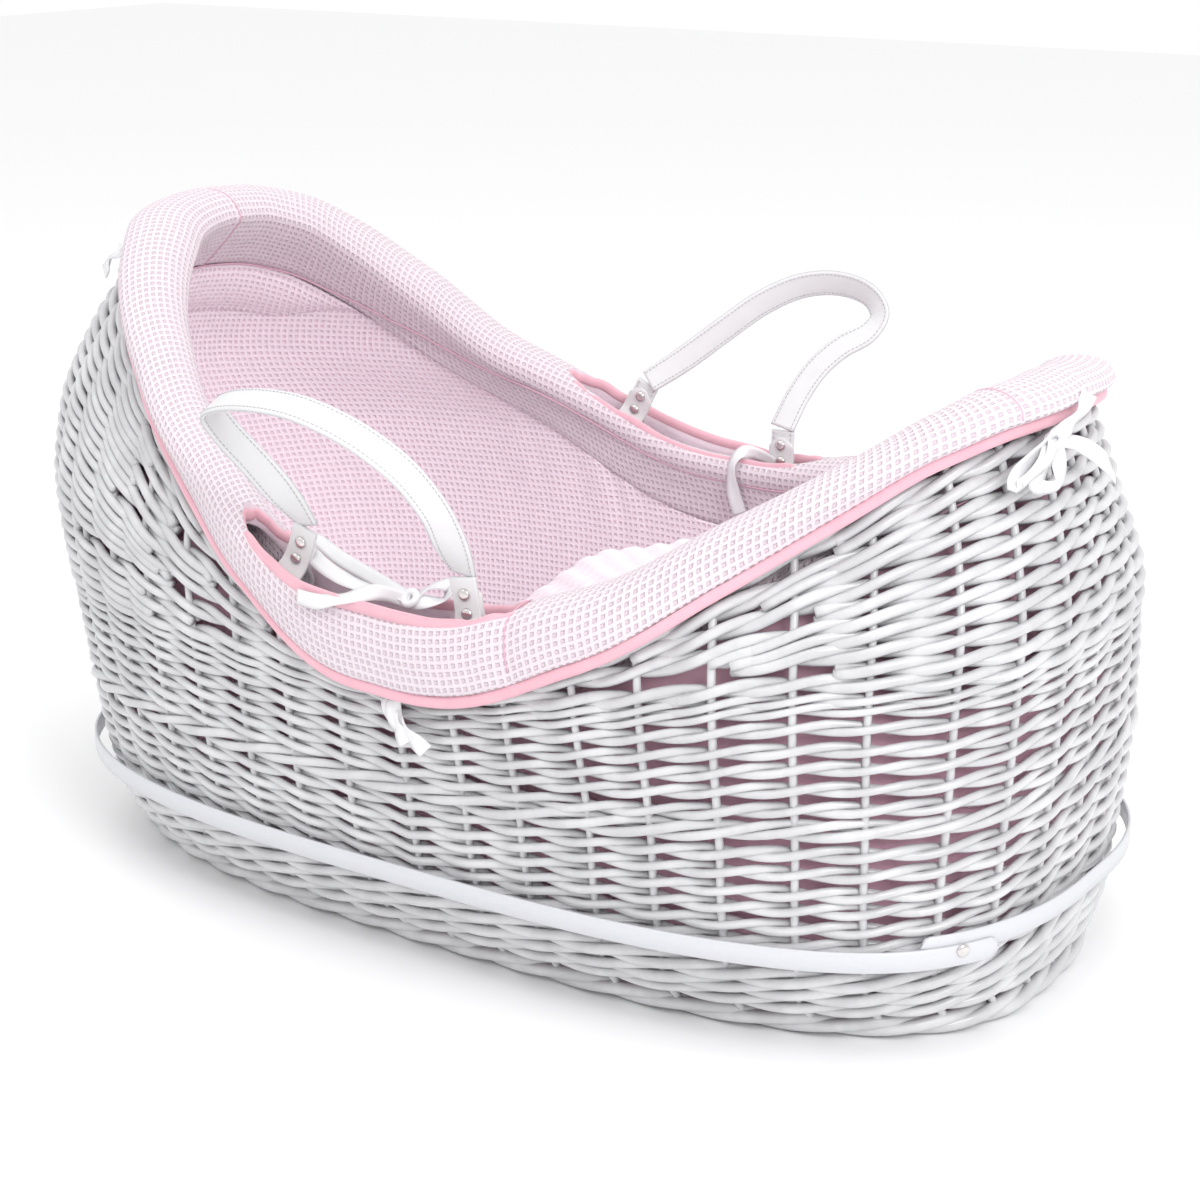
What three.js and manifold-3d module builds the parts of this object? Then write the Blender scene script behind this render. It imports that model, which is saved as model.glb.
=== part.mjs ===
// Moses basket: a woven wicker pod with a hood, a bent wooden band, leather carry
// handles, and a padded cotton dressing, mattress and coverlet.
// Units are millimetres. +Z is up, +X runs from the hood to the foot end,
// and the origin is on the floor, under the middle of the basket.
import * as THREE from 'three';
import { mergeVertices } from 'three/addons/utils/BufferGeometryUtils.js';
import Module from 'manifold-3d';

const wasm = await Module();
wasm.setup();

// ---- Driving dimensions -------------------------------------------------

// Outer surface of the wicker: height, head end x, foot end x, half width, squareness.
const LEVELS = [
  [0, -364, 406, 187, 2.75],
  [60, -369, 416, 224, 3.0],
  [130, -375, 423, 242, 3.0],
  [200, -392, 427, 246, 2.9],
  [270, -416, 428, 238, 2.8],
  [330, -430, 415, 206, 2.7],
  [390, -404, 395, 186, 2.6],
  [450, -356, 374, 166, 2.4],
  [500, -309, 353, 150, 2.3],
];
// Top of the wicker rim: angle from the foot end in degrees, height.
const RIM_HEIGHTS = [
  [0, 404], [15, 401], [30, 388], [45, 361], [60, 324], [75, 277], [88, 252],
  [105, 320], [120, 383], [135, 424], [150, 449], [165, 459], [180, 463],
];
// How far the dressing's outer flap hangs below the rim: angle, drop.
const FLAP_DROPS = [
  [0, 4], [30, 6], [60, 20], [75, 28], [90, 42], [98, 22], [120, 8], [180, 4],
];

const GAP = 0.3;                 // clearance between touching pieces
const WALL_OUT = -0.5;           // wicker faces, measured outwards from the LEVELS surface
const WALL_IN = -18.5;
const WALL_MID = -9.5;
const FOOT_BORDER_TOP = 18;
const LOWER_WALL_TOP = 214;
const BASE_THICKNESS = 9;
const RIM_ROD = 6.2;              // radius of the rim border
const RIM_DROP = 5.5;             // rim border's centre below the rim line
const WALL_TOP_GAP = 3;          // wall's top edge below the rim border

const BAND_LOW = 72;             // bent wooden band
const BAND_HEIGHT = 14;
const BAND_THICKNESS = 2.4;
const BAND_STANDOFF = 2.6;
const BAND_LAP_ANGLE = 14;       // length of the overlap, degrees
const BAND_LAP_START = -33;
const BAND_LAP_RISE = 7;         // the under end sits this much higher
const BAND_STEPS = 72;
const BAND_TOP = BAND_LOW + BAND_HEIGHT + BAND_LAP_RISE;

const LINER_OUT = -23;           // cotton lining inside the wicker
const LINER_IN = -26;
const LINER_TOP = 41;            // below the rim line, where the padded rim takes over
const VALANCE_TOP = 43;          // padded band inside the hood, below the rim line
const VALANCE_LOW = 84;
const VALANCE_START = 118;
const VALANCE_GAP = 3;           // between the band and the lining behind it
const BINDING_HEIGHT = 8;
const BINDING_THICKNESS = 4;

const SLIT_REACH = 44;           // handle slits in the padded rim run this far past the anchors
const SLIT_OUT = 7.8;
const SLIT_IN = -23.6;
const SLIT_BINDING_RADIUS = 3;
const SLIT_BED = 9;              // foot of the groove for the binding, above the rim line
const SLIT_ROOM = 1.5;           // clearance round the binding

const LOOP_WIDTH = 24;
const LOOP_LEATHER = 3;
const LOOP_TOP = 45;             // where the strap starts above the rim line
const LOOP_NECK = 13;            // where the two layers of the loop meet
const STRAP_WIDTH = 20;
const STRAP_THICKNESS = 3.4;
const STRAP_STEPS = 32;
// Each handle: its anchors along the rim, how far it leans out from upright in degrees, how the
// strap twists about its middle line (share of its length, degrees), and that middle line
// between the anchors, along the line through them and up from it.
const HANDLES = {
  near: {
    sign: -1,
    anchors: [-66, 90],
    lean: 33,
    twists: [[0, 0], [0.17, 78], [0.83, 102], [1, 180]],
    route: [
      [0, 0], [-9, 22], [-24, 52], [-38, 78], [-41, 96], [-25, 108], [12, 120],
      [50, 123], [88, 112], [116, 90], [129, 62], [132, 32], [132, 0],
    ],
  },
  far: {
    sign: 1,
    anchors: [-91, 55],
    lean: 32,
    twists: [[0, 0], [0.22, 36], [0.58, 44], [0.74, 6], [1, 0]],
    route: [
      [0, 0], [20, 26], [44, 62], [66, 93], [92, 116], [122, 127], [151, 125],
      [166, 112], [163, 96], [147, 78], [135, 56], [129, 28], [128, 0],
    ],
  },
};

const RIVET_HEAD = 5;
const RIVET_SHANK = 2;
const RIVET_SIDES = 10;
const RIVET_HEIGHTS = [18, 31];  // above the rim line

const MATTRESS_LENGTH = 700;
const MATTRESS_WIDTH = 306;
const MATTRESS_THICKNESS = 38;
const MATTRESS_X = 20;
const COVERLET_HEAD_X = -88;
const COVERLET_FOOT_X = 354;
const COVERLET_HALF_WIDTH = 150;
const COVERLET_EDGE = 22;
const COVERLET_CROWN = 178;
const COVERLET_LEAN = 0.2;       // the top climbs this much per millimetre towards the foot end
const COVERLET_SHOULDER = 5;     // how square the top is where it turns down to the edge

const RING_STEPS = 56;
const WALK_LEVEL = 240;          // height at which lengths round the basket are measured
const RIBBON_WIDTH = 9;
const RIBBON_THICKNESS = 1.4;

const COLOURS = {
  wicker: [0xf3f3f4, 0.35],
  band: [0xf1f1f4, 0.4],
  waffle: [0xfbe3ec, 0.95],
  lining: [0xf9d6e3, 0.95],
  binding: [0xf9b7c4, 0.9],
  leather: [0xf4f4f4, 0.5],
  steel: [0xc9c4c4, 0.3],
  mattress: [0xffffff, 0.95],
  dimple: [0xfdeaf0, 0.95],
  ribbon: [0xffffff, 0.45],
};

// ---- Curves of the basket -----------------------------------------------

const radians = THREE.MathUtils.degToRad;

// Smooth monotone curve through the rows of a table, column against the first.
function readTable(table, position, column = 1) {
  const last = table.length - 1;
  const at = THREE.MathUtils.clamp(position, table[0][0], table[last][0]);
  let row = 0;
  while (row < last - 1 && at > table[row + 1][0]) row += 1;
  const slope = (i) => (table[i + 1][column] - table[i][column]) / (table[i + 1][0] - table[i][0]);
  const tangent = (i) => {
    if (i === 0) return slope(0);
    if (i === last) return slope(last - 1);
    const before = slope(i - 1);
    const after = slope(i);
    if (before * after <= 0) return 0;
    const left = table[i][0] - table[i - 1][0];
    const right = table[i + 1][0] - table[i][0];
    return 3 * (left + right) / ((2 * right + left) / before + (right + 2 * left) / after);
  };
  const span = table[row + 1][0] - table[row][0];
  const t = (at - table[row][0]) / span;
  const rise = t * t * (3 - 2 * t);
  return table[row][column] * (1 - rise) + table[row + 1][column] * rise
    + t * (1 - t) * (1 - t) * span * tangent(row) - t * t * (1 - t) * span * tangent(row + 1);
}

const angleFromFoot = (angle) => Math.abs(((angle + 540) % 360) - 180);
const rimHeight = (angle) => readTable(RIM_HEIGHTS, angleFromFoot(angle));
const flapHeight = (angle) => rimHeight(angle) - readTable(FLAP_DROPS, angleFromFoot(angle));

// Point on the wicker's outer surface, moved outwards in plan by offset.
function wallPoint(angle, height, offset = 0) {
  const [head, foot, half, power] = [1, 2, 3, 4].map((column) => readTable(LEVELS, height, column));
  const reach = (foot - head) / 2;
  const cos = Math.cos(radians(angle));
  const sin = Math.sin(radians(angle));
  const x = (foot + head) / 2 + reach * Math.sign(cos) * Math.abs(cos) ** (2 / power);
  const y = half * Math.sign(sin) * Math.abs(sin) ** (2 / power);
  const outX = Math.sign(cos) * Math.abs(cos) ** (2 - 2 / power) / reach;
  const outY = Math.sign(sin) * Math.abs(sin) ** (2 - 2 / power) / half;
  const size = Math.hypot(outX, outY);
  return new THREE.Vector3(x + offset * outX / size, y + offset * outY / size, height);
}

// Point near the rim: offset outwards, rise above the rim line.
// The plan position is taken at the rim line, so a section there stands upright.
function rimPoint(angle, offset, rise) {
  const height = rimHeight(angle);
  const point = wallPoint(angle, height, offset);
  point.z = height + rise;
  return point;
}

// Point of the dressing: as rimPoint above the rim line, and along the wall below it.
function dressedPoint(angle, offset, rise) {
  return rise > 0 ? rimPoint(angle, offset, rise) : wallPoint(angle, rimHeight(angle) + rise, offset);
}

// Angle at which the rim passes a given x, on the side given by sign.
function rimAngle(x, side) {
  let low = 20;
  let high = 160;
  for (let i = 0; i < 40; i += 1) {
    const middle = (low + high) / 2;
    if (wallPoint(middle, rimHeight(middle)).x > x) low = middle;
    else high = middle;
  }
  return side * (low + high) / 2;
}

const angleSteps = (from, to, steps) => (
  Array.from({ length: steps + 1 }, (_, i) => from + (to - from) * i / steps)
);
const fullTurn = (steps) => angleSteps(0, 360, steps).slice(0, steps);

// Angles round the basket and the length walked to reach each, at its widest level.
const walkAngles = angleSteps(-180, 540, 4320);
const walkLengths = [0];
for (let i = 1; i < walkAngles.length; i += 1) {
  const step = wallPoint(walkAngles[i], WALK_LEVEL).distanceTo(wallPoint(walkAngles[i - 1], WALK_LEVEL));
  walkLengths.push(walkLengths[i - 1] + step);
}

function interpolate(from, to, value) {
  let low = 0;
  let high = from.length - 1;
  while (high - low > 1) {
    const middle = (low + high) >> 1;
    if (from[middle] > value) high = middle;
    else low = middle;
  }
  return to[low] + (to[high] - to[low]) * (value - from[low]) / (from[high] - from[low]);
}

// Angles from one to another, at even lengths along the wall.
function evenSteps(from, to, steps) {
  const [start, end] = [from, to].map((angle) => interpolate(walkAngles, walkLengths, angle));
  return angleSteps(start, end, steps).map((length) => interpolate(walkLengths, walkAngles, length));
}
const evenTurn = (steps) => evenSteps(0, 360, steps).slice(0, steps);

// ---- Solids -------------------------------------------------------------

function signedVolume(positions, index) {
  let total = 0;
  const a = new THREE.Vector3();
  const b = new THREE.Vector3();
  const c = new THREE.Vector3();
  for (let i = 0; i < index.length; i += 3) {
    a.fromArray(positions, index[i] * 3);
    b.fromArray(positions, index[i + 1] * 3);
    c.fromArray(positions, index[i + 2] * 3);
    total += a.dot(b.cross(c));
  }
  return total;
}

// Skins a row of outlines that have the same number of points. A closed row joins
// its last outline to its first; an open row gets a flat cap at each end.
function loft(outlines, closed) {
  const count = outlines[0].length;
  const rows = outlines.length;
  const positions = outlines.flat().flatMap((point) => [point.x, point.y, point.z]);
  const index = [];
  for (let row = 0; row < (closed ? rows : rows - 1); row += 1) {
    const next = (row + 1) % rows;
    for (let i = 0; i < count; i += 1) {
      const j = (i + 1) % count;
      const corner = [row * count + i, row * count + j, next * count + j, next * count + i];
      index.push(corner[0], corner[1], corner[2], corner[0], corner[2], corner[3]);
    }
  }
  if (!closed) {
    const end = (rows - 1) * count;
    for (let i = 1; i < count - 1; i += 1) {
      index.push(0, i + 1, i);
      index.push(end, end + i, end + i + 1);
    }
  }
  if (signedVolume(positions, index) < 0) {
    for (let i = 0; i < index.length; i += 3) {
      [index[i + 1], index[i + 2]] = [index[i + 2], index[i + 1]];
    }
  }
  const geometry = new THREE.BufferGeometry();
  geometry.setAttribute('position', new THREE.Float32BufferAttribute(positions, 3));
  geometry.setIndex(index);
  return geometry;
}

function toManifold(geometry) {
  const bare = geometry.clone();
  bare.deleteAttribute('normal');
  bare.deleteAttribute('uv');
  const merged = mergeVertices(bare);
  const mesh = new wasm.Mesh({
    numProp: 3,
    vertProperties: new Float32Array(merged.attributes.position.array),
    triVerts: new Uint32Array(merged.index.array),
  });
  return new wasm.Manifold(mesh);
}

function fromManifold(solid) {
  const mesh = solid.getMesh();
  const geometry = new THREE.BufferGeometry();
  geometry.setAttribute('position', new THREE.Float32BufferAttribute(mesh.vertProperties, 3));
  geometry.setIndex(Array.from(mesh.triVerts));
  return geometry;
}

function cut(geometry, tools) {
  let solid = toManifold(geometry);
  for (const tool of tools) solid = solid.subtract(toManifold(tool));
  return fromManifold(solid);
}

const basket = new THREE.Group();

function addPiece(name, geometry, look) {
  const [color, roughness] = COLOURS[look];
  const metalness = look === 'steel' ? 1 : 0;
  const mesh = new THREE.Mesh(geometry, new THREE.MeshStandardMaterial({ color, roughness, metalness }));
  mesh.name = name;
  basket.add(mesh);
  return mesh;
}

// ---- Wicker -------------------------------------------------------------

// Upright outline through the wicker wall at one angle.
function wallOutline(angle, low, high, rows, outside = WALL_OUT, inside = WALL_IN) {
  const heights = angleSteps(low, high, rows);
  const outer = heights.map((height) => wallPoint(angle, height, outside));
  const inner = heights.map((height) => wallPoint(angle, height, inside)).reverse();
  return [...outer, ...inner];
}

function makeFootBorder() {
  const outline = (angle) => [
    wallPoint(angle, 0, -3), wallPoint(angle, 5, 0.5), wallPoint(angle, 13, 0.5),
    wallPoint(angle, FOOT_BORDER_TOP, -3), wallPoint(angle, FOOT_BORDER_TOP, -17),
    wallPoint(angle, 9, -19), wallPoint(angle, 0, -17),
  ].map((point, i) => point.setZ([0, 5, 13, FOOT_BORDER_TOP, FOOT_BORDER_TOP, 9, 0][i]));
  return loft(evenTurn(RING_STEPS).map(outline), true);
}

function makeBase() {
  const edge = WALL_IN - GAP;
  const low = FOOT_BORDER_TOP + GAP;
  const outline = (height) => evenTurn(RING_STEPS).map((angle) => wallPoint(angle, low, edge).setZ(height));
  return loft([outline(low), outline(low + BASE_THICKNESS)], false);
}

function makeLowerWall() {
  const low = FOOT_BORDER_TOP + GAP;
  return loft(evenTurn(RING_STEPS).map((angle) => wallOutline(angle, low, LOWER_WALL_TOP, 5)), true);
}

// The packed wall above the lower wall, from one side round to the other.
function makeUpperWall(from, to) {
  const low = LOWER_WALL_TOP + GAP;
  const top = (angle) => rimHeight(angle) - RIM_DROP - RIM_ROD - WALL_TOP_GAP;
  const outlines = evenSteps(from, to, RING_STEPS / 2).map((angle) => wallOutline(angle, low, top(angle), 5));
  return cut(loft(outlines, false), loopNotches());
}

function makeRimBorder() {
  const sides = 8;
  const outline = (angle) => {
    const centre = wallPoint(angle, rimHeight(angle) - RIM_DROP, WALL_MID);
    const outwards = rimPoint(angle, 1, 0).sub(rimPoint(angle, 0, 0));
    return fullTurn(sides).map((turn) => {
      const point = centre.clone().addScaledVector(outwards, RIM_ROD * Math.cos(radians(turn)));
      return point.setZ(point.z + RIM_ROD * Math.sin(radians(turn)));
    });
  };
  return loft(evenTurn(RING_STEPS).map(outline), true);
}

// ---- Bent band ----------------------------------------------------------

// Runs once round and laps over its own start, rising where it goes under.
function makeBand() {
  const turn = 360 + BAND_LAP_ANGLE;
  const outlines = evenSteps(0, turn, BAND_STEPS).map((along) => {
    const angle = BAND_LAP_START + along;
    const under = 1 - THREE.MathUtils.smoothstep(along, BAND_LAP_ANGLE, 3.2 * BAND_LAP_ANGLE);
    const over = THREE.MathUtils.smoothstep(along, 360 - 2 * BAND_LAP_ANGLE, 360);
    const low = BAND_LOW + BAND_LAP_RISE * under;
    const inside = BAND_STANDOFF + over * (BAND_THICKNESS + 2 * GAP);
    const at = (rise, depth) => wallPoint(angle, BAND_TOP, inside + depth).setZ(low + rise);
    return [at(0, 0), at(BAND_HEIGHT, 0), at(BAND_HEIGHT, BAND_THICKNESS), at(0, BAND_THICKNESS)];
  });
  return loft(outlines, false);
}

// ---- Rivets -------------------------------------------------------------

// Domed head, shank and back disc in one, with its axis along +Z and its grip centred.
function rivetGeometry(grip) {
  const half = grip / 2 + GAP;
  const profile = [
    [0, -half - 1.6], [RIVET_HEAD - 1, -half - 1.2], [RIVET_HEAD, -half], [RIVET_SHANK, -half],
    [RIVET_SHANK, half], [RIVET_HEAD, half], [RIVET_HEAD - 1.2, half + 1.3], [0, half + 1.9],
  ].map(([radius, height]) => new THREE.Vector2(radius, height));
  return new THREE.LatheGeometry(profile, RIVET_SIDES).rotateX(Math.PI / 2);
}

function shankHole(length) {
  const radius = RIVET_SHANK + 2 * GAP;
  return new THREE.CylinderGeometry(radius, radius, length, RIVET_SIDES).rotateX(Math.PI / 2);
}

// Moves a shape modelled along +Z so that +Z points along a direction, at a place.
function placed(geometry, place, direction) {
  const turn = new THREE.Quaternion().setFromUnitVectors(new THREE.Vector3(0, 0, 1), direction);
  return geometry.applyQuaternion(turn).translate(place.x, place.y, place.z);
}

// ---- Handles ------------------------------------------------------------

const handles = Object.entries(HANDLES).flatMap(([side, { sign, anchors }]) => (
  anchors.map((x, i) => ({ side, sign, end: ['head', 'foot'][i], angle: rimAngle(x, sign) }))
));

// Frame of one end loop: origin on the rim line, then outwards, along the rim and up.
function loopFrame(handle) {
  const origin = wallPoint(handle.angle, rimHeight(handle.angle) - RIM_DROP, WALL_MID);
  const outwards = rimPoint(handle.angle, 1, 0).sub(rimPoint(handle.angle, 0, 0)).normalize();
  const along = rimPoint(handle.angle - handle.sign, WALL_MID, 0)
    .sub(rimPoint(handle.angle + handle.sign, WALL_MID, 0));
  along.addScaledVector(outwards, -along.dot(outwards)).normalize();
  const up = along.clone().cross(outwards).normalize();
  if (up.z < 0) up.negate();
  origin.addScaledVector(up, RIM_DROP);
  return { origin, outwards, along, up };
}

function inLoopFrame(frame, across, along, rise) {
  return frame.origin.clone().addScaledVector(frame.outwards, across)
    .addScaledVector(frame.along, along).addScaledVector(frame.up, rise);
}

// Leather loop round the rim border: two layers pinched together above it.
function makeLoop(handle) {
  const frame = loopFrame(handle);
  const inner = RIM_ROD + 3.6;
  const outer = inner + LOOP_LEATHER;
  const bottom = -RIM_DROP - RIM_ROD - 3;
  const outside = [
    [LOOP_LEATHER, LOOP_TOP - 8], [LOOP_LEATHER, LOOP_NECK], [outer, 4], [outer, -RIM_DROP],
    [inner - 3, bottom - LOOP_LEATHER], [-inner + 3, bottom - LOOP_LEATHER], [-outer, -RIM_DROP],
    [-outer, 4], [-LOOP_LEATHER, LOOP_NECK], [-LOOP_LEATHER, LOOP_TOP - 8], [0, LOOP_TOP - 7.5],
  ];
  const hole = [
    [0, LOOP_NECK - 2], [inner, 3], [inner, -RIM_DROP - 2], [inner - 4, bottom],
    [-inner + 4, bottom], [-inner, -RIM_DROP - 2], [-inner, 3],
  ];
  const slab = (points, half) => loft([-half, half].map((along) => (
    points.map(([across, rise]) => inLoopFrame(frame, across, along, rise))
  )), false);
  const tools = [slab(hole, LOOP_WIDTH)];
  for (const rise of RIVET_HEIGHTS) {
    tools.push(placed(shankHole(30), inLoopFrame(frame, 0, 0, rise), frame.outwards));
  }
  return cut(slabFromTriangles(outside, frame), tools);
}

// A concave outline as a slab across the loop's width, capped by triangulation.
function slabFromTriangles(points, frame) {
  const half = LOOP_WIDTH / 2;
  const shape = points.map(([across, rise]) => new THREE.Vector2(across, rise));
  const corners = [-half, half].flatMap((along) => (
    points.map(([across, rise]) => inLoopFrame(frame, across, along, rise))
  ));
  const count = points.length;
  const index = THREE.ShapeUtils.triangulateShape(shape, []).flatMap(([a, b, c]) => (
    [a, b, c, a + count, c + count, b + count]
  ));
  const clockwise = THREE.ShapeUtils.isClockWise(shape);
  for (let i = 0; i < count; i += 1) {
    const j = (i + 1) % count;
    const wall = [i, i + count, j + count, i, j + count, j];
    index.push(...(clockwise ? wall.reverse() : wall));
  }
  const positions = corners.flatMap((point) => [point.x, point.y, point.z]);
  if (signedVolume(positions, index) < 0) index.reverse();
  const geometry = new THREE.BufferGeometry();
  geometry.setAttribute('position', new THREE.Float32BufferAttribute(positions, 3));
  geometry.setIndex(index);
  return geometry;
}

// Room in the wall's top edge for the loop that passes under the rim border.
function loopNotches() {
  return handles.map((handle) => {
    const frame = loopFrame(handle);
    const half = LOOP_WIDTH / 2 + 1;
    const low = -RIM_DROP - RIM_ROD - LOOP_LEATHER - 4;
    const outline = (along) => [[-16, low], [16, low], [16, 10], [-16, 10]]
      .map(([across, rise]) => inLoopFrame(frame, across, along, rise));
    return loft([outline(-half), outline(half)], false);
  });
}

// Line through a handle's two ends, and the upright of the leaning plane that holds its arch.
function strapPlane(side) {
  const { sign } = HANDLES[side];
  const lean = radians(HANDLES[side].lean);
  const ends = handles.filter((handle) => handle.side === side)
    .map((handle) => inLoopFrame(loopFrame(handle), 0, 0, LOOP_TOP));
  const along = ends[1].clone().sub(ends[0]).normalize();
  const up = new THREE.Vector3(0, sign * Math.sin(lean), Math.cos(lean));
  up.addScaledVector(along, -up.dot(along)).normalize();
  return { ends, along, up, across: along.clone().cross(up).normalize() };
}

function makeStrap(side) {
  const plane = strapPlane(side);
  const { route } = HANDLES[side];
  const stretch = plane.ends[1].distanceTo(plane.ends[0]) / route[route.length - 1][0];
  const path = route.map(([along, up]) => plane.ends[0].clone()
    .addScaledVector(plane.along, along * stretch).addScaledVector(plane.up, up));
  const curve = new THREE.CatmullRomCurve3(path, false, 'centripetal');
  const outlines = angleSteps(0, 1, STRAP_STEPS).map((t) => {
    const centre = curve.getPointAt(t);
    const tangent = curve.getTangentAt(t);
    const twist = radians(readTable(HANDLES[side].twists, t));
    const width = plane.across.clone().cross(tangent).multiplyScalar(Math.cos(twist))
      .addScaledVector(plane.across, Math.sin(twist));
    width.addScaledVector(tangent, -width.dot(tangent)).setLength(STRAP_WIDTH / 2);
    const depth = tangent.clone().cross(width).setLength(STRAP_THICKNESS / 2);
    return [[1, 1], [-1, 1], [-1, -1], [1, -1]]
      .map(([w, d]) => centre.clone().addScaledVector(width, w).addScaledVector(depth, d));
  });
  return loft(outlines, false);
}

// ---- Dressing -----------------------------------------------------------

function makeLining() {
  const low = FOOT_BORDER_TOP + BASE_THICKNESS + 3 * GAP;
  const outline = (angle) => wallOutline(
    angle, low, rimHeight(angle) - LINER_TOP - GAP, 7, LINER_OUT, LINER_IN,
  );
  return loft(evenTurn(RING_STEPS).map(outline), true);
}

// Padded rim: folds over the wicker's edge, thick on top and inside, thin outside.
function makePaddedRim() {
  const outline = (angle) => {
    const hang = flapHeight(angle) + BINDING_HEIGHT + GAP - rimHeight(angle);
    return [
      [9, hang], [14, hang / 2 + 6], [13, 13], [3, 19], [-12, 22], [-28, 19], [-39, 9], [-43, -8],
      [-40, -26], [-35, -LINER_TOP], [-24, -LINER_TOP], [-24, -22], [-23, -6], [-21, 5],
      [-9, 8], [1, 6], [2, hang],
    ].map(([offset, rise]) => dressedPoint(angle, offset, rise));
  };
  return cut(loft(evenTurn(RING_STEPS).map(outline), true), slitCutters());
}

// Padded band inside the hood, under the rolled rim.
function makeValance() {
  const outline = (angle) => [
    [0, -VALANCE_TOP], [0, -VALANCE_LOW], [-4, -VALANCE_LOW - 2],
    [-9, -VALANCE_LOW + 6], [-8, -VALANCE_TOP - 6], [-3, -VALANCE_TOP],
  ].map(([offset, rise]) => [offset + LINER_IN - VALANCE_GAP, rise]).map(([offset, rise]) => dressedPoint(angle, offset, rise));
  return loft(evenSteps(VALANCE_START, 360 - VALANCE_START, RING_STEPS / 2).map(outline), false);
}

function slitRange(side) {
  const { sign, anchors } = HANDLES[side];
  return [rimAngle(anchors[1] + SLIT_REACH, sign), rimAngle(anchors[0] - SLIT_REACH, sign)];
}

// One slot right through the padding for the handle, and a wider one for its binding.
function slitCutters() {
  const slot = (side, offsets, rises, grow) => {
    const [from, to] = slitRange(side);
    const angles = evenSteps(from - HANDLES[side].sign * grow, to + HANDLES[side].sign * grow, 20);
    return loft(angles.map((angle) => [
      rimPoint(angle, offsets[0], rises[0]), rimPoint(angle, offsets[1], rises[0]),
      rimPoint(angle, offsets[1], rises[1]), rimPoint(angle, offsets[0], rises[1]),
    ]), false);
  };
  const room = 2 * SLIT_BINDING_RADIUS + SLIT_ROOM;
  return Object.keys(HANDLES).flatMap((side) => [
    slot(side, [SLIT_IN, SLIT_OUT], [-60, 40], 0),
    slot(side, [SLIT_IN - room, SLIT_OUT + room], [SLIT_BED, 40], 3.4),
  ]);
}

function makeSlitBinding(side) {
  const [from, to] = slitRange(side);
  const outer = SLIT_OUT + SLIT_BINDING_RADIUS + GAP;
  const inner = SLIT_IN - SLIT_BINDING_RADIUS - GAP;
  const rise = SLIT_BED + SLIT_ROOM + SLIT_BINDING_RADIUS;
  const steps = 18;
  const lane = evenSteps(from, to, steps);
  const path = [
    ...lane.map((angle) => rimPoint(angle, outer, rise)),
    ...lane.reverse().map((angle) => rimPoint(angle, inner, rise)),
  ];
  const curve = new THREE.CatmullRomCurve3(path, true, 'centripetal');
  const upright = new THREE.Vector3(0, 0, 1);
  const outlines = angleSteps(0, 1, 48).slice(0, 48).map((t) => {
    const centre = curve.getPointAt(t);
    const level = curve.getTangentAt(t).cross(upright).normalize();
    return fullTurn(6).map((turn) => centre.clone()
      .addScaledVector(level, SLIT_BINDING_RADIUS * Math.cos(radians(turn)))
      .addScaledVector(upright, SLIT_BINDING_RADIUS * Math.sin(radians(turn))));
  });
  return loft(outlines, true);
}

function makeFlapBinding() {
  const outline = (angle) => {
    const low = flapHeight(angle) - rimHeight(angle);
    return [[3, low], [3, low + BINDING_HEIGHT], [3 + BINDING_THICKNESS, low + BINDING_HEIGHT],
      [4 + BINDING_THICKNESS, low + BINDING_HEIGHT / 2], [3 + BINDING_THICKNESS, low]]
      .map(([offset, rise]) => dressedPoint(angle, offset, rise));
  };
  return loft(evenTurn(RING_STEPS).map(outline), true);
}

// ---- Bedding ------------------------------------------------------------

function ovalOutline(middle, reach, half, power, height) {
  return fullTurn(40).map((angle) => {
    const cos = Math.cos(radians(angle));
    const sin = Math.sin(radians(angle));
    const x = middle + reach * Math.sign(cos) * Math.abs(cos) ** (2 / power);
    return new THREE.Vector3(x, half * Math.sign(sin) * Math.abs(sin) ** (2 / power), height);
  });
}

function makeMattress(low) {
  const inset = [[8, 0], [0, 8], [0, MATTRESS_THICKNESS - 8], [8, MATTRESS_THICKNESS]];
  return loft(inset.map(([inwards, rise]) => ovalOutline(
    MATTRESS_X, MATTRESS_LENGTH / 2 - inwards, MATTRESS_WIDTH / 2 - inwards, 2.8, low + rise,
  )), false);
}

// Plump coverlet, highest along its middle.
function makeCoverlet(low) {
  const middle = (COVERLET_HEAD_X + COVERLET_FOOT_X) / 2;
  const reach = (COVERLET_FOOT_X - COVERLET_HEAD_X) / 2;
  const layers = [[0.97, 0], [1, 0.5 * COVERLET_EDGE], [0.99, COVERLET_EDGE]];
  for (const size of [0.97, 0.92, 0.85, 0.75, 0.6, 0.36, 0.14]) {
    layers.push([size, COVERLET_EDGE + COVERLET_CROWN * (1 - size ** COVERLET_SHOULDER)]);
  }
  return loft(layers.map(([size, rise]) => ovalOutline(
    middle, reach * size, COVERLET_HALF_WIDTH * size, 3, low + rise,
  ).map((point) => {
    const climb = COVERLET_LEAN * (point.x - middle) * Math.max(0, rise - COVERLET_EDGE) / COVERLET_CROWN;
    return point.setZ(point.z + climb);
  })), false);
}

// Binding sewn round the coverlet's edge.
function makeCoverletBinding(low) {
  const middle = (COVERLET_HEAD_X + COVERLET_FOOT_X) / 2;
  const reach = (COVERLET_FOOT_X - COVERLET_HEAD_X) / 2 + GAP;
  const ring = (outwards, rise) => (
    ovalOutline(middle, reach + outwards, COVERLET_HALF_WIDTH + GAP + outwards, 3, low + rise)
  );
  const layers = [ring(0, 5), ring(3, 5), ring(3.5, 10), ring(3, 15), ring(0, 15)];
  const steps = layers[0].map((point, i) => layers.map((layer) => layer[i]));
  return loft(steps, true);
}

// ---- Ribbon ties --------------------------------------------------------

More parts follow.
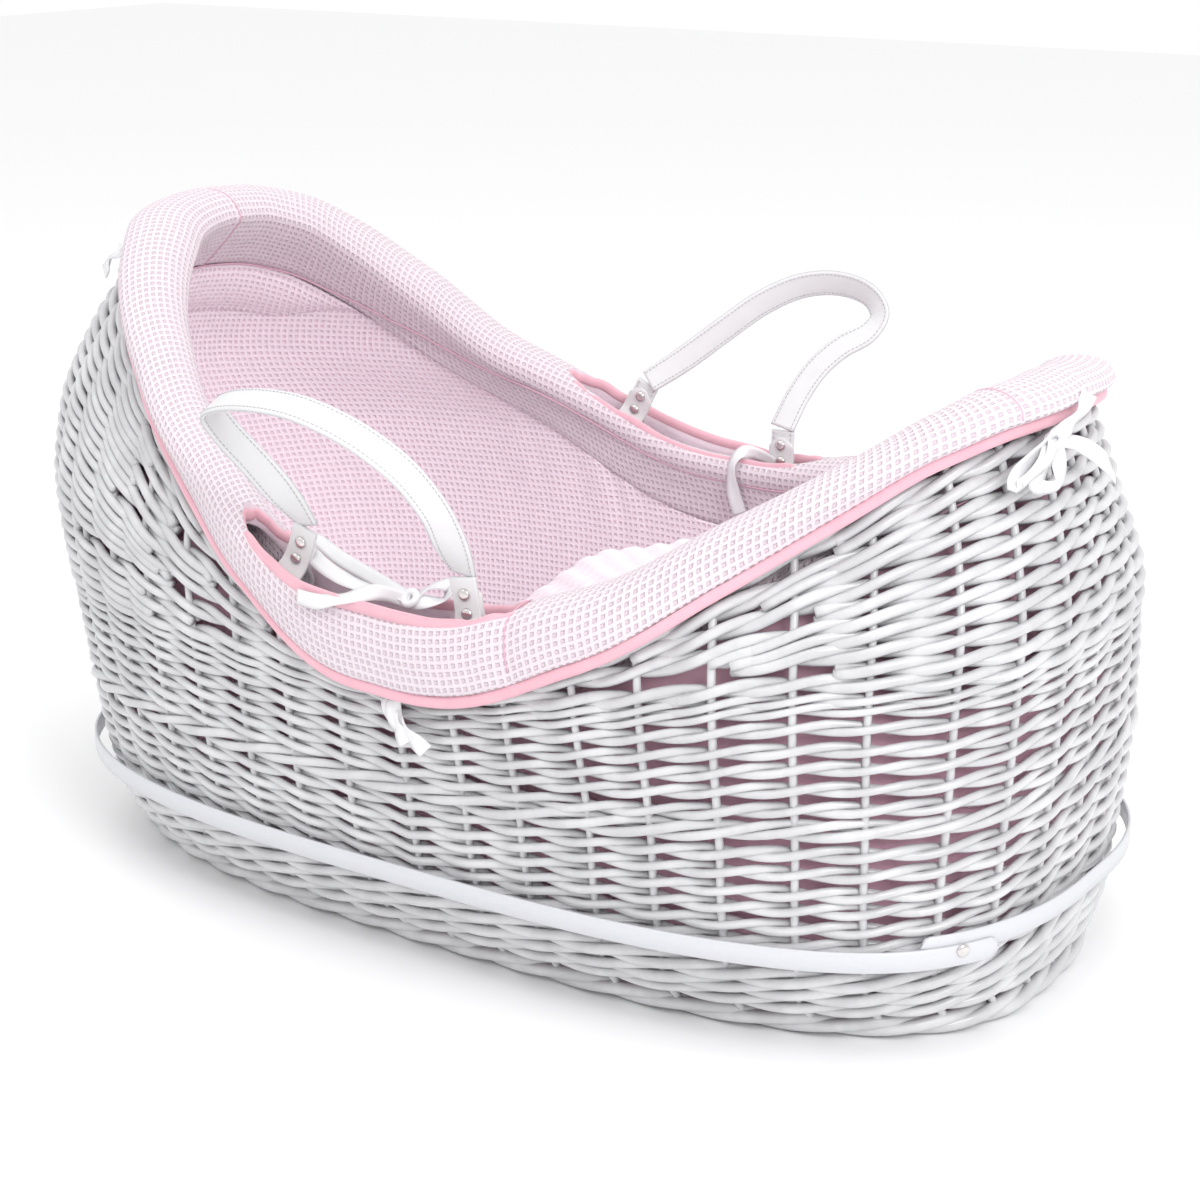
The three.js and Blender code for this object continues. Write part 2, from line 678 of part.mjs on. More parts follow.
// A flat strip through points, with its width across the given direction.
function makeRibbon(points, facing) {
  const curve = new THREE.CatmullRomCurve3(points);
  const outlines = angleSteps(0, 1, 10).map((t) => {
    const centre = curve.getPointAt(t);
    const width = curve.getTangentAt(t).cross(facing).normalize();
    const depth = width.clone().cross(curve.getTangentAt(t)).normalize();
    return [[1, 1], [-1, 1], [-1, -1], [1, -1]].map(([w, d]) => centre.clone()
      .addScaledVector(width, w * RIBBON_WIDTH / 2).addScaledVector(depth, d * RIBBON_THICKNESS / 2));
  });
  return loft(outlines, false);
}

// A tie that hangs down from a place on the rim.
function hangingTie(angle, offset, rise, length) {
  const facing = rimPoint(angle, 10, 0).sub(rimPoint(angle, 0, 0)).normalize();
  const steps = [0, 0.35, 0.7, 1].map((t) => dressedPoint(angle + 0.6 * t, offset, rise - t * length));
  return makeRibbon(steps, facing);
}

// ---- Assembly -----------------------------------------------------------

addPiece('foot_border', makeFootBorder(), 'wicker');
addPiece('woven_base', makeBase(), 'wicker');
addPiece('lower_wall', makeLowerWall(), 'wicker');
addPiece('foot_wall', makeUpperWall(-90 + GAP / 4, 90 - GAP / 4), 'wicker');
addPiece('hood_wall', makeUpperWall(90 + GAP / 4, 270 - GAP / 4), 'wicker');
addPiece('rim_border', makeRimBorder(), 'wicker');

const bandRivetAngle = BAND_LAP_START + BAND_LAP_ANGLE / 2;
const bandFace = wallPoint(bandRivetAngle, BAND_TOP, BAND_STANDOFF + BAND_THICKNESS + GAP)
  .setZ(BAND_LOW + (BAND_HEIGHT + BAND_LAP_RISE) / 2);
const bandOut = wallPoint(bandRivetAngle, BAND_TOP, 50).setZ(bandFace.z).sub(bandFace).normalize();
addPiece('bent_band', cut(makeBand(), [placed(shankHole(14), bandFace, bandOut)]), 'band');
addPiece('band_rivet', placed(rivetGeometry(2 * BAND_THICKNESS + 8 * GAP), bandFace, bandOut), 'steel');

for (const handle of handles) {
  const frame = loopFrame(handle);
  addPiece(`${handle.side}_${handle.end}_loop`, makeLoop(handle), 'leather');
  RIVET_HEIGHTS.forEach((rise, i) => {
    const rivet = placed(rivetGeometry(2 * LOOP_LEATHER), inLoopFrame(frame, 0, 0, rise), frame.outwards);
    addPiece(`${handle.side}_${handle.end}_rivet_${i + 1}`, rivet, 'steel');
  });
}
addPiece('near_handle_strap', makeStrap('near'), 'leather');
addPiece('far_handle_strap', makeStrap('far'), 'leather');

addPiece('cotton_lining', makeLining(), 'lining');
addPiece('hood_valance', makeValance(), 'lining');
addPiece('padded_rim', makePaddedRim(), 'waffle');
addPiece('flap_binding', makeFlapBinding(), 'binding');
addPiece('near_slit_binding', makeSlitBinding('near'), 'binding');
addPiece('far_slit_binding', makeSlitBinding('far'), 'binding');

const mattressLow = FOOT_BORDER_TOP + BASE_THICKNESS + 2 * GAP;
addPiece('mattress', makeMattress(mattressLow), 'mattress');
const coverletLow = mattressLow + MATTRESS_THICKNESS + GAP;
addPiece('coverlet', makeCoverlet(coverletLow), 'dimple');
addPiece('coverlet_binding', makeCoverletBinding(coverletLow), 'binding');

addPiece('near_flap_tie', hangingTie(-90, 6, -46, 28), 'ribbon');
addPiece('far_flap_tie', hangingTie(90, 6, -46, 28), 'ribbon');
addPiece('near_slit_tie', hangingTie(rimAngle(-20, -1), -47, 0, 40), 'ribbon');
addPiece('far_slit_tie', hangingTie(rimAngle(30, 1), -47, 0, 40), 'ribbon');
addPiece('foot_tie', hangingTie(-14, 4, -12, 40), 'ribbon');
addPiece('head_tie', hangingTie(190, 5, -12, 34), 'ribbon');

export default basket;
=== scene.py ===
"""Looks of the moses basket: woven white willow, bent band, leather handles, waffle-cotton dressing.

Sizes are millimetres in the basket's own frame, turned into metres where a mesh is made.
"""
import math

import bmesh
import bpy
import numpy as np
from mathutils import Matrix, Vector


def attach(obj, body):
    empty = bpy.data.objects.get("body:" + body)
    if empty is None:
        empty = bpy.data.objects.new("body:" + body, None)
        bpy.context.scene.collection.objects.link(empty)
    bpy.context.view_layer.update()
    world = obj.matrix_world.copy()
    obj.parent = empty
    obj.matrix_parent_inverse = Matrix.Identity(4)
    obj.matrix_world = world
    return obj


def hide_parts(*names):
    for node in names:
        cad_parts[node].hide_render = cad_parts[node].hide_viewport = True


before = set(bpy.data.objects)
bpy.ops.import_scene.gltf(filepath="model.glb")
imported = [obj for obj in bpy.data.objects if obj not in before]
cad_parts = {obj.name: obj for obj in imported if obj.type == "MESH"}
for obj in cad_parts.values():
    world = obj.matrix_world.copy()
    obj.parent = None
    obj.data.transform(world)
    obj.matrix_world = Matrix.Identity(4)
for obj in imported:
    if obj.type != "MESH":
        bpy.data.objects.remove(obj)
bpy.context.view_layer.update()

MM = 0.001
rng = np.random.default_rng(7)

# ---- Driving dimensions, as in the design --------------------------------

# Outer surface of the wicker: height, head end x, foot end x, half width, squareness.
LEVELS = np.array([
    [0, -364, 406, 187, 2.75],
    [60, -369, 416, 224, 3.0],
    [130, -375, 423, 242, 3.0],
    [200, -392, 427, 246, 2.9],
    [270, -416, 428, 238, 2.8],
    [330, -430, 415, 206, 2.7],
    [390, -404, 395, 186, 2.6],
    [450, -356, 374, 166, 2.4],
    [500, -309, 353, 150, 2.3],
], float)
# Top of the wicker rim: angle from the foot end in degrees, height.
RIM_HEIGHTS = np.array([
    [0, 404], [15, 401], [30, 388], [45, 361], [60, 324], [75, 277], [88, 252],
    [105, 320], [120, 383], [135, 424], [150, 449], [165, 459], [180, 463],
], float)
# How far the dressing's outer flap hangs below the rim: angle, drop.
FLAP_DROPS = np.array([
    [0, 4], [30, 6], [60, 20], [75, 28], [90, 42], [98, 22], [120, 8], [180, 4],
], float)

WALL_MID = -9.5          # middle of the wicker, measured outwards from its outer surface
RIM_DROP = 5.5
RIM_ROD = 6.2
BAND_LOW = 72
BAND_HEIGHT = 14
BAND_THICKNESS = 2.4
BAND_STANDOFF = 2.6
BAND_LAP_ANGLE = 14
BAND_LAP_START = -33
BAND_LAP_RISE = 7
BAND_TOP = BAND_LOW + BAND_HEIGHT + BAND_LAP_RISE
LINER_OUT = -23
LINER_IN = -26
LINER_TOP = 41
BASE_LOW = 27.6
COVERLET_HEAD = -88
COVERLET_FOOT = 354
COVERLET_EDGE = 22
COVERLET_CROWN = 178
COVERLET_LEAN = 0.2      # its top climbs this much per millimetre towards the foot
COVERLET_SHOULDER = 5
DIMPLE_PITCH = 13
BINDING_HEIGHT = 8
SLIT_REACH = 44
SLIT_OUT = 7.8
SLIT_IN = -23.6
SLIT_BED = 9
LOOP_WIDTH = 24
LOOP_TOP = 45
RIVET_HEIGHTS = (18, 31)
STRAP_WIDTH = 20
STRAP_THICKNESS = 3.4
HANDLES = {
    "near": {
        "sign": -1, "anchors": (-66, 90), "lean": 33,
        "route": [
            [0, 0], [-9, 22], [-24, 52], [-38, 78], [-41, 96], [-25, 108], [12, 120],
            [50, 123], [88, 112], [116, 90], [129, 62], [132, 32], [132, 0],
        ],
        "twists": [[0, 0], [0.17, 78], [0.83, 102], [1, 180]],
    },
    "far": {
        "sign": 1, "anchors": (-91, 55), "lean": 32,
        "route": [
            [0, 0], [20, 26], [44, 62], [66, 93], [92, 116], [122, 127], [151, 125],
            [166, 112], [163, 96], [147, 78], [135, 56], [129, 28], [128, 0],
        ],
        "twists": [[0, 0], [0.22, 36], [0.58, 44], [0.74, 6], [1, 0]],
    },
}

# ---- Curves of the basket -------------------------------------------------


def ease(t):
    """0 to 1 with level ends."""
    return t * t * (3 - 2 * t)


def smoothstep(value, low, high):
    return ease(np.clip((value - low) / (high - low), 0, 1))


def signed_power(value, power):
    return np.sign(value) * np.abs(value) ** power


def unit(v):
    return v / np.maximum(np.linalg.norm(v, axis=-1, keepdims=True), 1e-9)


def path_lengths(path):
    """Length from a path's start to each of its points."""
    return np.concatenate([[0], np.cumsum(np.linalg.norm(np.diff(path, axis=0), axis=1))])


def read_table(table, at, column=1):
    """Smooth monotone curve through a table's column against its first."""
    x, y = table[:, 0], table[:, column]
    step = np.diff(x)
    slope = np.diff(y) / step
    tangent = np.concatenate([slope[:1], np.zeros(len(x) - 2), slope[-1:]])
    before, after, left, right = slope[:-1], slope[1:], step[:-1], step[1:]
    keep = before * after > 0
    share = (2 * right + left)[keep] / before[keep] + (right + 2 * left)[keep] / after[keep]
    tangent[1:-1][keep] = 3 * (left + right)[keep] / share
    at = np.clip(at, x[0], x[-1])
    row = np.clip(np.searchsorted(x, at, side="right") - 1, 0, len(x) - 2)
    span = step[row]
    t = (at - x[row]) / span
    rise = ease(t)
    return (
        y[row] * (1 - rise) + y[row + 1] * rise
        + t * (1 - t) ** 2 * span * tangent[row] - t * t * (1 - t) * span * tangent[row + 1]
    )


def from_foot(angle):
    return np.abs((np.asarray(angle, float) + 540) % 360 - 180)


def rim_height(angle):
    return read_table(RIM_HEIGHTS, from_foot(angle))


def flap_height(angle):
    return rim_height(angle) - read_table(FLAP_DROPS, from_foot(angle))


def wall(angle, height, offset=0.0):
    """Points on the wicker's outer surface, moved outwards in plan by offset."""
    places = (np.asarray(v, float) for v in (angle, height, offset))
    angle, height, offset = np.broadcast_arrays(*places)
    head, foot, half, power = (read_table(LEVELS, height, column) for column in (1, 2, 3, 4))
    reach = (foot - head) / 2
    cos, sin = np.cos(np.radians(angle)), np.sin(np.radians(angle))
    x = (foot + head) / 2 + reach * signed_power(cos, 2 / power)
    y = half * signed_power(sin, 2 / power)
    out_x = signed_power(cos, 2 - 2 / power) / reach
    out_y = signed_power(sin, 2 - 2 / power) / half
    size = np.hypot(out_x, out_y)
    return np.stack([x + offset * out_x / size, y + offset * out_y / size, height], -1)


def dressed(angle, offset, rise):
    """Points of the dressing: upright above the rim line, along the wall below it."""
    height = rim_height(angle)
    points = wall(angle, height + np.minimum(rise, 0), offset)
    points[..., 2] = height + rise
    return points


# Walking round the basket by the length of its wall, so that stakes stand evenly.
STAKES = 48
WALK_LEVEL = 200
FOOT_SPREAD = 0.12       # stakes stand this much further apart towards the foot
walk_angles = np.linspace(-180, 540, 72001)
walk_points = wall(walk_angles, WALK_LEVEL)
walk_steps = np.linalg.norm(np.diff(walk_points, axis=0), axis=1)
walk_steps /= 1 + FOOT_SPREAD * np.cos(np.radians(walk_angles[1:]))
walk_lengths = np.concatenate([[0], np.cumsum(walk_steps)])
full_walk = walk_lengths[-1] / 2
walk_start = np.interp(0, walk_angles, walk_lengths)


def angle_at(stake):
    """Angle of a place counted in stakes, 0 at the foot end's middle."""
    return np.interp(walk_start + np.asarray(stake, float) * full_walk / STAKES, walk_lengths, walk_angles)


def stake_at(angle):
    return (np.interp(angle, walk_angles, walk_lengths) - walk_start) * STAKES / full_walk


def shell(stake, height, depth=0.0, lift=0.0):
    """Points at a depth and lift from the middle of the wicker, and the directions out of it there."""
    places = (np.asarray(v, float) for v in (stake, height, depth, lift))
    stake, height, depth, lift = np.broadcast_arrays(*places)
    angle = angle_at(stake)
    along = wall(angle_at(stake + 0.1), height, WALL_MID) - wall(angle_at(stake - 0.1), height, WALL_MID)
    up = unit(wall(angle, height + 2, WALL_MID) - wall(angle, height - 2, WALL_MID))
    out = unit(np.cross(along, up))
    points = wall(angle, height, WALL_MID) + out * depth[..., None] + up * lift[..., None]
    return points, out


def smooth_noise(stake, period, seed, size=1.0):
    """Slow wobble along a closed walk of STAKES, repeating after the full turn."""
    source = np.random.default_rng(seed)
    count = max(4, int(STAKES / period))
    values = source.uniform(-1, 1, count)
    at = np.asarray(stake, float) / STAKES * count
    low = np.floor(at).astype(int)
    t = ease(at - low)
    return size * (values[low % count] * (1 - t) + values[(low + 1) % count] * t)


# ---- Mesh building --------------------------------------------------------


class Build:
    """Collects grids and tubes, in millimetres, into one piece."""

    def __init__(self):
        self.points, self.faces, self.uvs, self.count = [], [], [], 0

    def grid(self, points, wrap_rows=False, wrap_columns=False, uv=None):
        rows, columns = points.shape[:2]
        last_row, last_column = rows - (not wrap_rows), columns - (not wrap_columns)
        r, c = np.meshgrid(np.arange(last_row), np.arange(last_column), indexing="ij")
        up, across = (r + 1) % rows, (c + 1) % columns
        corners = [(r, c), (r, across), (up, across), (up, c)]
        faces = np.stack([i * columns + j for i, j in corners], -1).reshape(-1, 4) + self.count
        if uv is not None:
            around = [(r, c), (r, c + 1), (r + 1, c + 1), (r + 1, c)]
            self.uvs.append(np.stack([uv[i, j] for i, j in around], 2).reshape(-1, 2))
        self.points.append(points.reshape(-1, 3))
        self.faces += faces.tolist()
        self.count += rows * columns

    def cap(self, first, count, reverse):
        ring = list(range(first, first + count))
        self.faces.append(ring[::-1] if reverse else ring)

    def loft(self, sections, uv=None):
        """Closed outlines joined one to the next, with both ends filled."""
        first, sides = self.count, sections.shape[1]
        self.grid(sections, False, True, uv)
        self.cap(first, sides, True)
        self.cap(self.count - sides, sides, False)

    def tube(self, path, out, radius, sides=8, closed=False, flat=1.0):
        """Round rod along a path; out is a direction across it, flat its thickness against its width."""
        if closed:
            tangent = unit(np.roll(path, -1, 0) - np.roll(path, 1, 0))
        else:
            tangent = unit(np.gradient(path, axis=0))
        side = unit(np.cross(tangent, out))
        front = np.cross(side, tangent)
        turn = (np.arange(sides) * 2 * math.pi / sides)[None, :, None]
        radius = np.broadcast_to(np.asarray(radius, float), (len(path),))[:, None, None]
        ring = flat * np.cos(turn) * front[:, None] + np.sin(turn) * side[:, None]
        sections = path[:, None] + radius * ring
        if closed:
            self.grid(sections, True, True)
        else:
            self.loft(sections)

    def done(self, name, material, smooth=True, fix=False):
        mesh = bpy.data.meshes.new(name)
        mesh.from_pydata((np.concatenate(self.points) * MM).tolist(), [], self.faces)
        if self.uvs:
            layer = mesh.uv_layers.new(name="UVMap")
            flat = np.concatenate(self.uvs)
            values = np.zeros((len(mesh.loops), 2), np.float32)
            values[:len(flat)] = flat
            layer.data.foreach_set("uv", values.ravel())
        if fix:
            shape = bmesh.new()
            shape.from_mesh(mesh)
            bmesh.ops.recalc_face_normals(shape, faces=shape.faces)
            shape.to_mesh(mesh)
            shape.free()
        mesh.polygons.foreach_set("use_smooth", [smooth] * len(mesh.polygons))
        mesh.materials.append(material)
        piece = bpy.data.objects.new(name, mesh)
        bpy.context.scene.collection.objects.link(piece)
        return piece


CURVE_STEPS = 24         # points between two given points before a curve is spaced evenly


def knot_slope(before, here, after, first, second):
    """Slope of a curve at here, between knots that are first and second away."""
    return (here - before) / first - (after - before) / (first + second) + (after - here) / second


def even_curve(points, count, closed=False):
    """Evenly spaced points on a smooth curve through points."""
    points = np.asarray(points, float)
    if closed:
        around = np.concatenate([points[-1:], points, points[:2]])
    else:
        around = np.concatenate([2 * points[:1] - points[1:2], points, 2 * points[-1:] - points[-2:-1]])
    t = np.linspace(0, 1, CURVE_STEPS, endpoint=False)[:, None]
    pieces = []
    for before, here, there, after in zip(around, around[1:], around[2:], around[3:]):
        gaps = [np.linalg.norm(q - p) for p, q in ((before, here), (here, there), (there, after))]
        knot = np.sqrt(np.maximum(gaps, 1e-6))
        start = knot_slope(before, here, there, knot[0], knot[1]) * knot[1]
        end = knot_slope(here, there, after, knot[1], knot[2]) * knot[1]
        pieces.append(
            (2 * t ** 3 - 3 * t ** 2 + 1) * here + (t ** 3 - 2 * t ** 2 + t) * start
            + (3 * t ** 2 - 2 * t ** 3) * there + (t ** 3 - t ** 2) * end)
    dense = np.concatenate(pieces + [around[-2:-1]])
    length = path_lengths(dense)
    at = np.linspace(0, length[-1], count, endpoint=not closed)
    return np.stack([np.interp(at, length, dense[:, k]) for k in range(dense.shape[1])], -1)


def finish_piece(piece, body, slot, *nodes):
    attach(piece, body)
    if nodes:
        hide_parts(*nodes)
    return piece


# ---- Materials ------------------------------------------------------------

WAFFLE_CELL = 5.4
WAFFLE_WOBBLE = 1.6
YARN_PITCH = WAFFLE_CELL / 6
TAPE_THREAD = 0.7


class Look:
    """A node material built around one Principled shader."""

    def __init__(self, name, color, roughness, **fixed):
        self.material = bpy.data.materials.new(name)
        self.material.use_nodes = True
        self.tree = self.material.node_tree
        self.shader = self.tree.nodes["Principled BSDF"]
        self.shader.inputs["Base Color"].default_value = (*color, 1)
        self.shader.inputs["Roughness"].default_value = roughness
        for key, value in fixed.items():
            self.shader.inputs[key.replace("_", " ")].default_value = value

    def node(self, kind, **settings):
        made = self.tree.nodes.new("ShaderNode" + kind)
        for key, value in settings.items():
            setattr(made, key, value)
        return made

    def feed(self, socket, value):
        if isinstance(value, bpy.types.NodeSocket):
            self.tree.links.new(value, socket)
        else:
            socket.default_value = value

    def math(self, operation, first, second=0.0):
        made = self.node("Math", operation=operation)
        self.feed(made.inputs[0], first)
        self.feed(made.inputs[1], second)
        return made.outputs[0]

    def add(self, first, second):
        return self.math("ADD", first, second)

    def times(self, first, second):
        return self.math("MULTIPLY", first, second)

    def ramp(self, value, low, high):
        made = self.node("MapRange", interpolation_type="SMOOTHSTEP")
        self.feed(made.inputs["Value"], value)
        made.inputs["From Min"].default_value = low
        made.inputs["From Max"].default_value = high
        return made.outputs[0]

    def mix(self, share, first, second):
        made = self.node("Mix", data_type="RGBA")
        self.feed(made.inputs[0], share)
        self.feed(made.inputs[6], (*first, 1))
        self.feed(made.inputs[7], (*second, 1))
        return made.outputs[2]

    def noise(self, scale, detail=2.0, where=None):
        made = self.node("TexNoise")
        made.inputs["Scale"].default_value = scale
        made.inputs["Detail"].default_value = detail
        self.feed(made.inputs["Vector"], where or self.places())
        return made.outputs["Fac"]

    def places(self):
        return self.node("TexCoord").outputs["Object"]

    def stretched(self, scale):
        """Object coordinates scaled differently along each axis."""
        made = self.node("Mapping")
        made.inputs["Scale"].default_value = scale
        self.feed(made.inputs["Vector"], self.places())
        return made.outputs["Vector"]

    def uv(self):
        made = self.node("SeparateXYZ")
        self.feed(made.inputs[0], self.node("UVMap", uv_map="UVMap").outputs[0])
        return made.outputs[0], made.outputs[1]

    def color(self, value):
        self.feed(self.shader.inputs["Base Color"], value)

    def bump(self, height, distance, strength=1.0):
        made = self.node("Bump")
        made.inputs["Distance"].default_value = distance * MM
        made.inputs["Strength"].default_value = strength
        self.feed(made.inputs["Height"], height)
        self.feed(self.shader.inputs["Normal"], made.outputs[0])


def wave(look, value, period, shift=0.0):
    """0 to 1 to 0 over each period."""
    turned = look.add(look.times(value, 2 * math.pi / period), shift)
    return look.add(look.times(look.math("COSINE", turned), 0.5), 0.5)


def painted_willow():
    look = Look("painted_willow", (0.60, 0.60, 0.615), 0.3, Coat_Weight=0.35, Coat_Roughness=0.15)
    patch = look.noise(35, 3)
    look.color(look.mix(look.ramp(patch, 0.35, 0.7), (0.54, 0.54, 0.555), (0.65, 0.65, 0.665)))
    look.feed(look.shader.inputs["Roughness"], look.add(look.times(patch, 0.25), 0.2))
    grain = look.add(look.noise(260, 3), look.times(look.noise(900, 2), 0.35))
    look.bump(grain, 0.35, 0.55)
    return look.material


def painted_band():
    look = Look("painted_band", (0.85, 0.855, 0.885), 0.38, Coat_Weight=0.2, Coat_Roughness=0.25)
    grain = look.noise(40, 4, look.stretched((6, 6, 60)))
    look.color(look.mix(grain, (0.58, 0.585, 0.615), (0.64, 0.645, 0.675)))
    look.bump(grain, 0.25, 0.4)
    return look.material


def waffle(name, ridge, pit_shade, depth):
    """Waffle cotton: soft raised ridges round sunken cells, on a fine yarn; the cells are coloured darker as
    painted shade.
    """
    look = Look(name, ridge, 0.92, Sheen_Weight=0.35, Sheen_Roughness=0.6)
    u, v = look.uv()
    u = look.add(u, look.times(look.noise(60, 2), WAFFLE_WOBBLE))
    v = look.add(v, look.times(look.noise(75, 2), WAFFLE_WOBBLE))
    cells = look.math("MINIMUM", wave(look, u, WAFFLE_CELL), wave(look, v, WAFFLE_CELL))
    pits = look.ramp(cells, 0.25, 1.0)
    yarn = look.add(wave(look, u, YARN_PITCH), wave(look, v, YARN_PITCH))
    # The sunken cells take the darker pit colour: painted shade in the hollows, on top of the bump's own
    # shading.
    look.color(look.mix(look.times(pits, 0.9), ridge, pit_shade))
    height = look.math("SUBTRACT", look.times(yarn, 0.06), pits)
    look.bump(look.add(height, look.times(look.noise(700, 2), 0.12)), depth, 0.9)
    return look.material


def bias_tape():
    look = Look("bias_tape", (0.92, 0.50, 0.56), 0.85, Sheen_Weight=0.25, Sheen_Roughness=0.5)
    u, v = look.uv()
    threads = [wave(look, turned, TAPE_THREAD) for turned in (look.add(u, v), look.math("SUBTRACT", u, v))]
    pucker = look.noise(90, 3)
    look.color(look.mix(pucker, (0.76, 0.40, 0.48), (0.82, 0.48, 0.55)))
    look.bump(look.add(look.times(look.times(*threads), 0.12), pucker), 0.8, 0.6)
    return look.material


def white_leather():
    look = Look("white_leather", (0.88, 0.88, 0.885), 0.42, Coat_Weight=0.12, Coat_Roughness=0.3)
    cells = look.node("TexVoronoi", feature="DISTANCE_TO_EDGE")
    cells.inputs["Scale"].default_value = 900
    look.feed(cells.inputs["Vector"], look.places())
    tone = look.noise(40, 3)
    look.color(look.mix(tone, (0.70, 0.70, 0.71), (0.77, 0.77, 0.78)))
    creases = look.add(look.ramp(cells.outputs["Distance"], 0.0, 0.12), look.times(tone, 0.8))
    look.bump(creases, 0.15, 0.5)
    return look.material


def plain(name, low, high, roughness, scale, depth, **fixed):
    """One-colour material with a soft mottle and a fine grain."""
    look = Look(name, low, roughness, **fixed)
    tone = look.noise(scale, 3)
    look.color(look.mix(tone, low, high))
    look.bump(look.add(tone, look.noise(scale * 14, 2)), depth, 0.5)
    return look.material


def plush_dimple():
    """Soft pile with rows of raised dots, and painted shade in the valleys between them."""
    look = Look("dimple_plush", (0.95, 0.83, 0.88), 0.95, Sheen_Weight=0.6, Sheen_Roughness=0.5)
    lattices = [
        look.times(*(wave(look, place, 2 * DIMPLE_PITCH, shift) for place in look.uv()))
        for shift in (0.0, math.pi)
    ]
    dots = look.ramp(look.math("MAXIMUM", *lattices), 0.2, 0.75)
    # The valleys take the darker pink as painted shade; the raised dots keep the lighter colour.
    look.color(look.mix(dots, (0.86, 0.69, 0.77), (0.87, 0.78, 0.83)))
    look.bump(look.add(dots, look.times(look.noise(500, 3), 0.35)), 1.2, 0.7)
    return look.material


WILLOW = painted_willow()
BAND = painted_band()
# One waffle cloth in two copies: the roll's copy is painted about a quarter darker as shade on the outside,
# and the lining's copy is painted brighter to stand in for light bouncing inside the basket.
WAFFLE_SHADED = waffle("waffle_painted_shade", (0.76, 0.66, 0.715), (0.725, 0.565, 0.645), 1.5)
LINING = waffle("waffle_lining", (1.0, 0.87, 0.94), (0.97, 0.73, 0.84), 1.3)
TAPE = bias_tape()
LEATHER = white_leather()
# Outer face of the lining, seen through the wicker's gaps: its dark mauve is painted shade for where it hangs
# behind the wicker.
SHADED_BACKING = plain("lining_back_painted_shade", (0.72, 0.42, 0.52), (0.80, 0.50, 0.60), 0.95, 120, 0.4)
STITCH = plain("grey_thread", (0.42, 0.42, 0.44), (0.55, 0.55, 0.57), 0.8, 400, 0.1)
EDGE_PAINT = plain("leather_edge", (0.50, 0.50, 0.52), (0.60, 0.60, 0.62), 0.5, 200, 0.1)
STEEL = plain("polished_steel", (0.62, 0.58, 0.57), (0.80, 0.77, 0.76), 0.16, 120, 0.05, Metallic=1.0)
SEAM = plain("seam_thread", (0.62, 0.36, 0.45), (0.72, 0.45, 0.54), 0.9, 200, 0.2)
COTTON = plain("mattress_cotton", (0.86, 0.86, 0.87), (0.92, 0.92, 0.93), 0.9, 60, 0.4)
SATIN = plain("satin_ribbon", (0.72, 0.72, 0.74), (0.80, 0.80, 0.815), 0.32, 150, 0.15,
              Sheen_Weight=0.2, Anisotropic=0.5)
DIMPLE = plush_dimple()

# ---- Wicker ---------------------------------------------------------------

STEPS = 8                # points of a rod between two stakes
FULL_WALK = np.arange(STAKES * STEPS) / STEPS
STAKE_RADIUS = 2.7
STAKE_LOW = 4
STAKE_FOOT = 28          # a stake's foot leans over this height
LOWER_TOP = 212          # top of the lower wall at the sides; it climbs at the foot end
FOOT_CLIMB = 42
FOOT_CLIMB_ANGLES = (95, 45)   # the climb starts and ends this far round from the foot's middle
CLIMB_FROM = 60          # rows below this height stay level
PAIR_REACH = 0.62        # how far rods swing in and out, as a share of their own and a stake's radius
WALE_REACH = 0.7
LOWER_RISE = 2.6
PACKING_RISE = 3.1
PACKING_CLEAR = 4        # the packing rows start this far above the lower wall
# Courses of the lower wall, from the foot up: lowest height, pitch, rows, rod radius, rods in a row.
LOWER_COURSES = (
    (31, 12, 3, 3.7, 3),
    (66.5, 10.4, 7, 3.05, 2),
    (141.8, 0, 1, 3.3, 3),
    (153.3, 10, 5, 2.9, 2),
    (201.8, 6.6, 3, 2.5, 2),
)
# Packing rows stop where they would be closer than this many pitches, in turn.
LEAST_GAPS = (0.05, 0.62, 0.36, 0.56)


def lower_top(angle):
    """Height where the lower wall ends and the packing rows begin."""
    start, end = FOOT_CLIMB_ANGLES
    return LOWER_TOP + FOOT_CLIMB * (1 - smoothstep(from_foot(angle), end, start))


def lay_sense(stake):
    """+1 on the foot half and -1 on the head half, constant between two stakes."""
    middle = np.floor(stake) + 0.5
    return np.where(np.cos(np.radians(angle_at(middle))) > 0, 1.0, -1.0)


def paired_row(build, stake, height, radius, seed, closed, rise):
    """Two rods that take turns in front of the stakes and cross between them."""
    for strand in (0, 1):
        turn = math.pi * (stake + strand)
        thick = radius * (1 + smooth_noise(stake, 5, seed + 31 + strand, 0.09))
        depth = PAIR_REACH * (STAKE_RADIUS + radius) * np.cos(turn)
        lift = lay_sense(stake) * rise * np.sin(turn) + smooth_noise(stake, 2.2, seed + strand, 0.6)
        path, out = shell(stake, height, depth, lift)
        build.tube(path, out, thick, 8, closed)


def wale_row(build, stake, height, radius, seed):
    """Three rods, each in front of two stakes and behind the third."""
    for strand in (0, 1, 2):
        turn = 2 * math.pi * (stake + strand) / 3
        depth = WALE_REACH * (STAKE_RADIUS + radius) * (0.25 + 0.95 * np.cos(turn))
        lift = 2.1 * radius * np.sin(turn) * 0.62 + smooth_noise(stake, 2, seed + strand, 1.4)
        path, out = shell(stake, height, depth, lift)
        build.tube(path, out, radius * (1 + smooth_noise(stake, 4, seed + 51 + strand, 0.1)), 8, True)


def lower_rows():
    """Height, rod radius and number of rods of every row of the lower wall, from the foot up."""
    return [
        (low + pitch * i, radius, rods)
        for low, pitch, rows, radius, rods in LOWER_COURSES for i in range(rows)
    ]


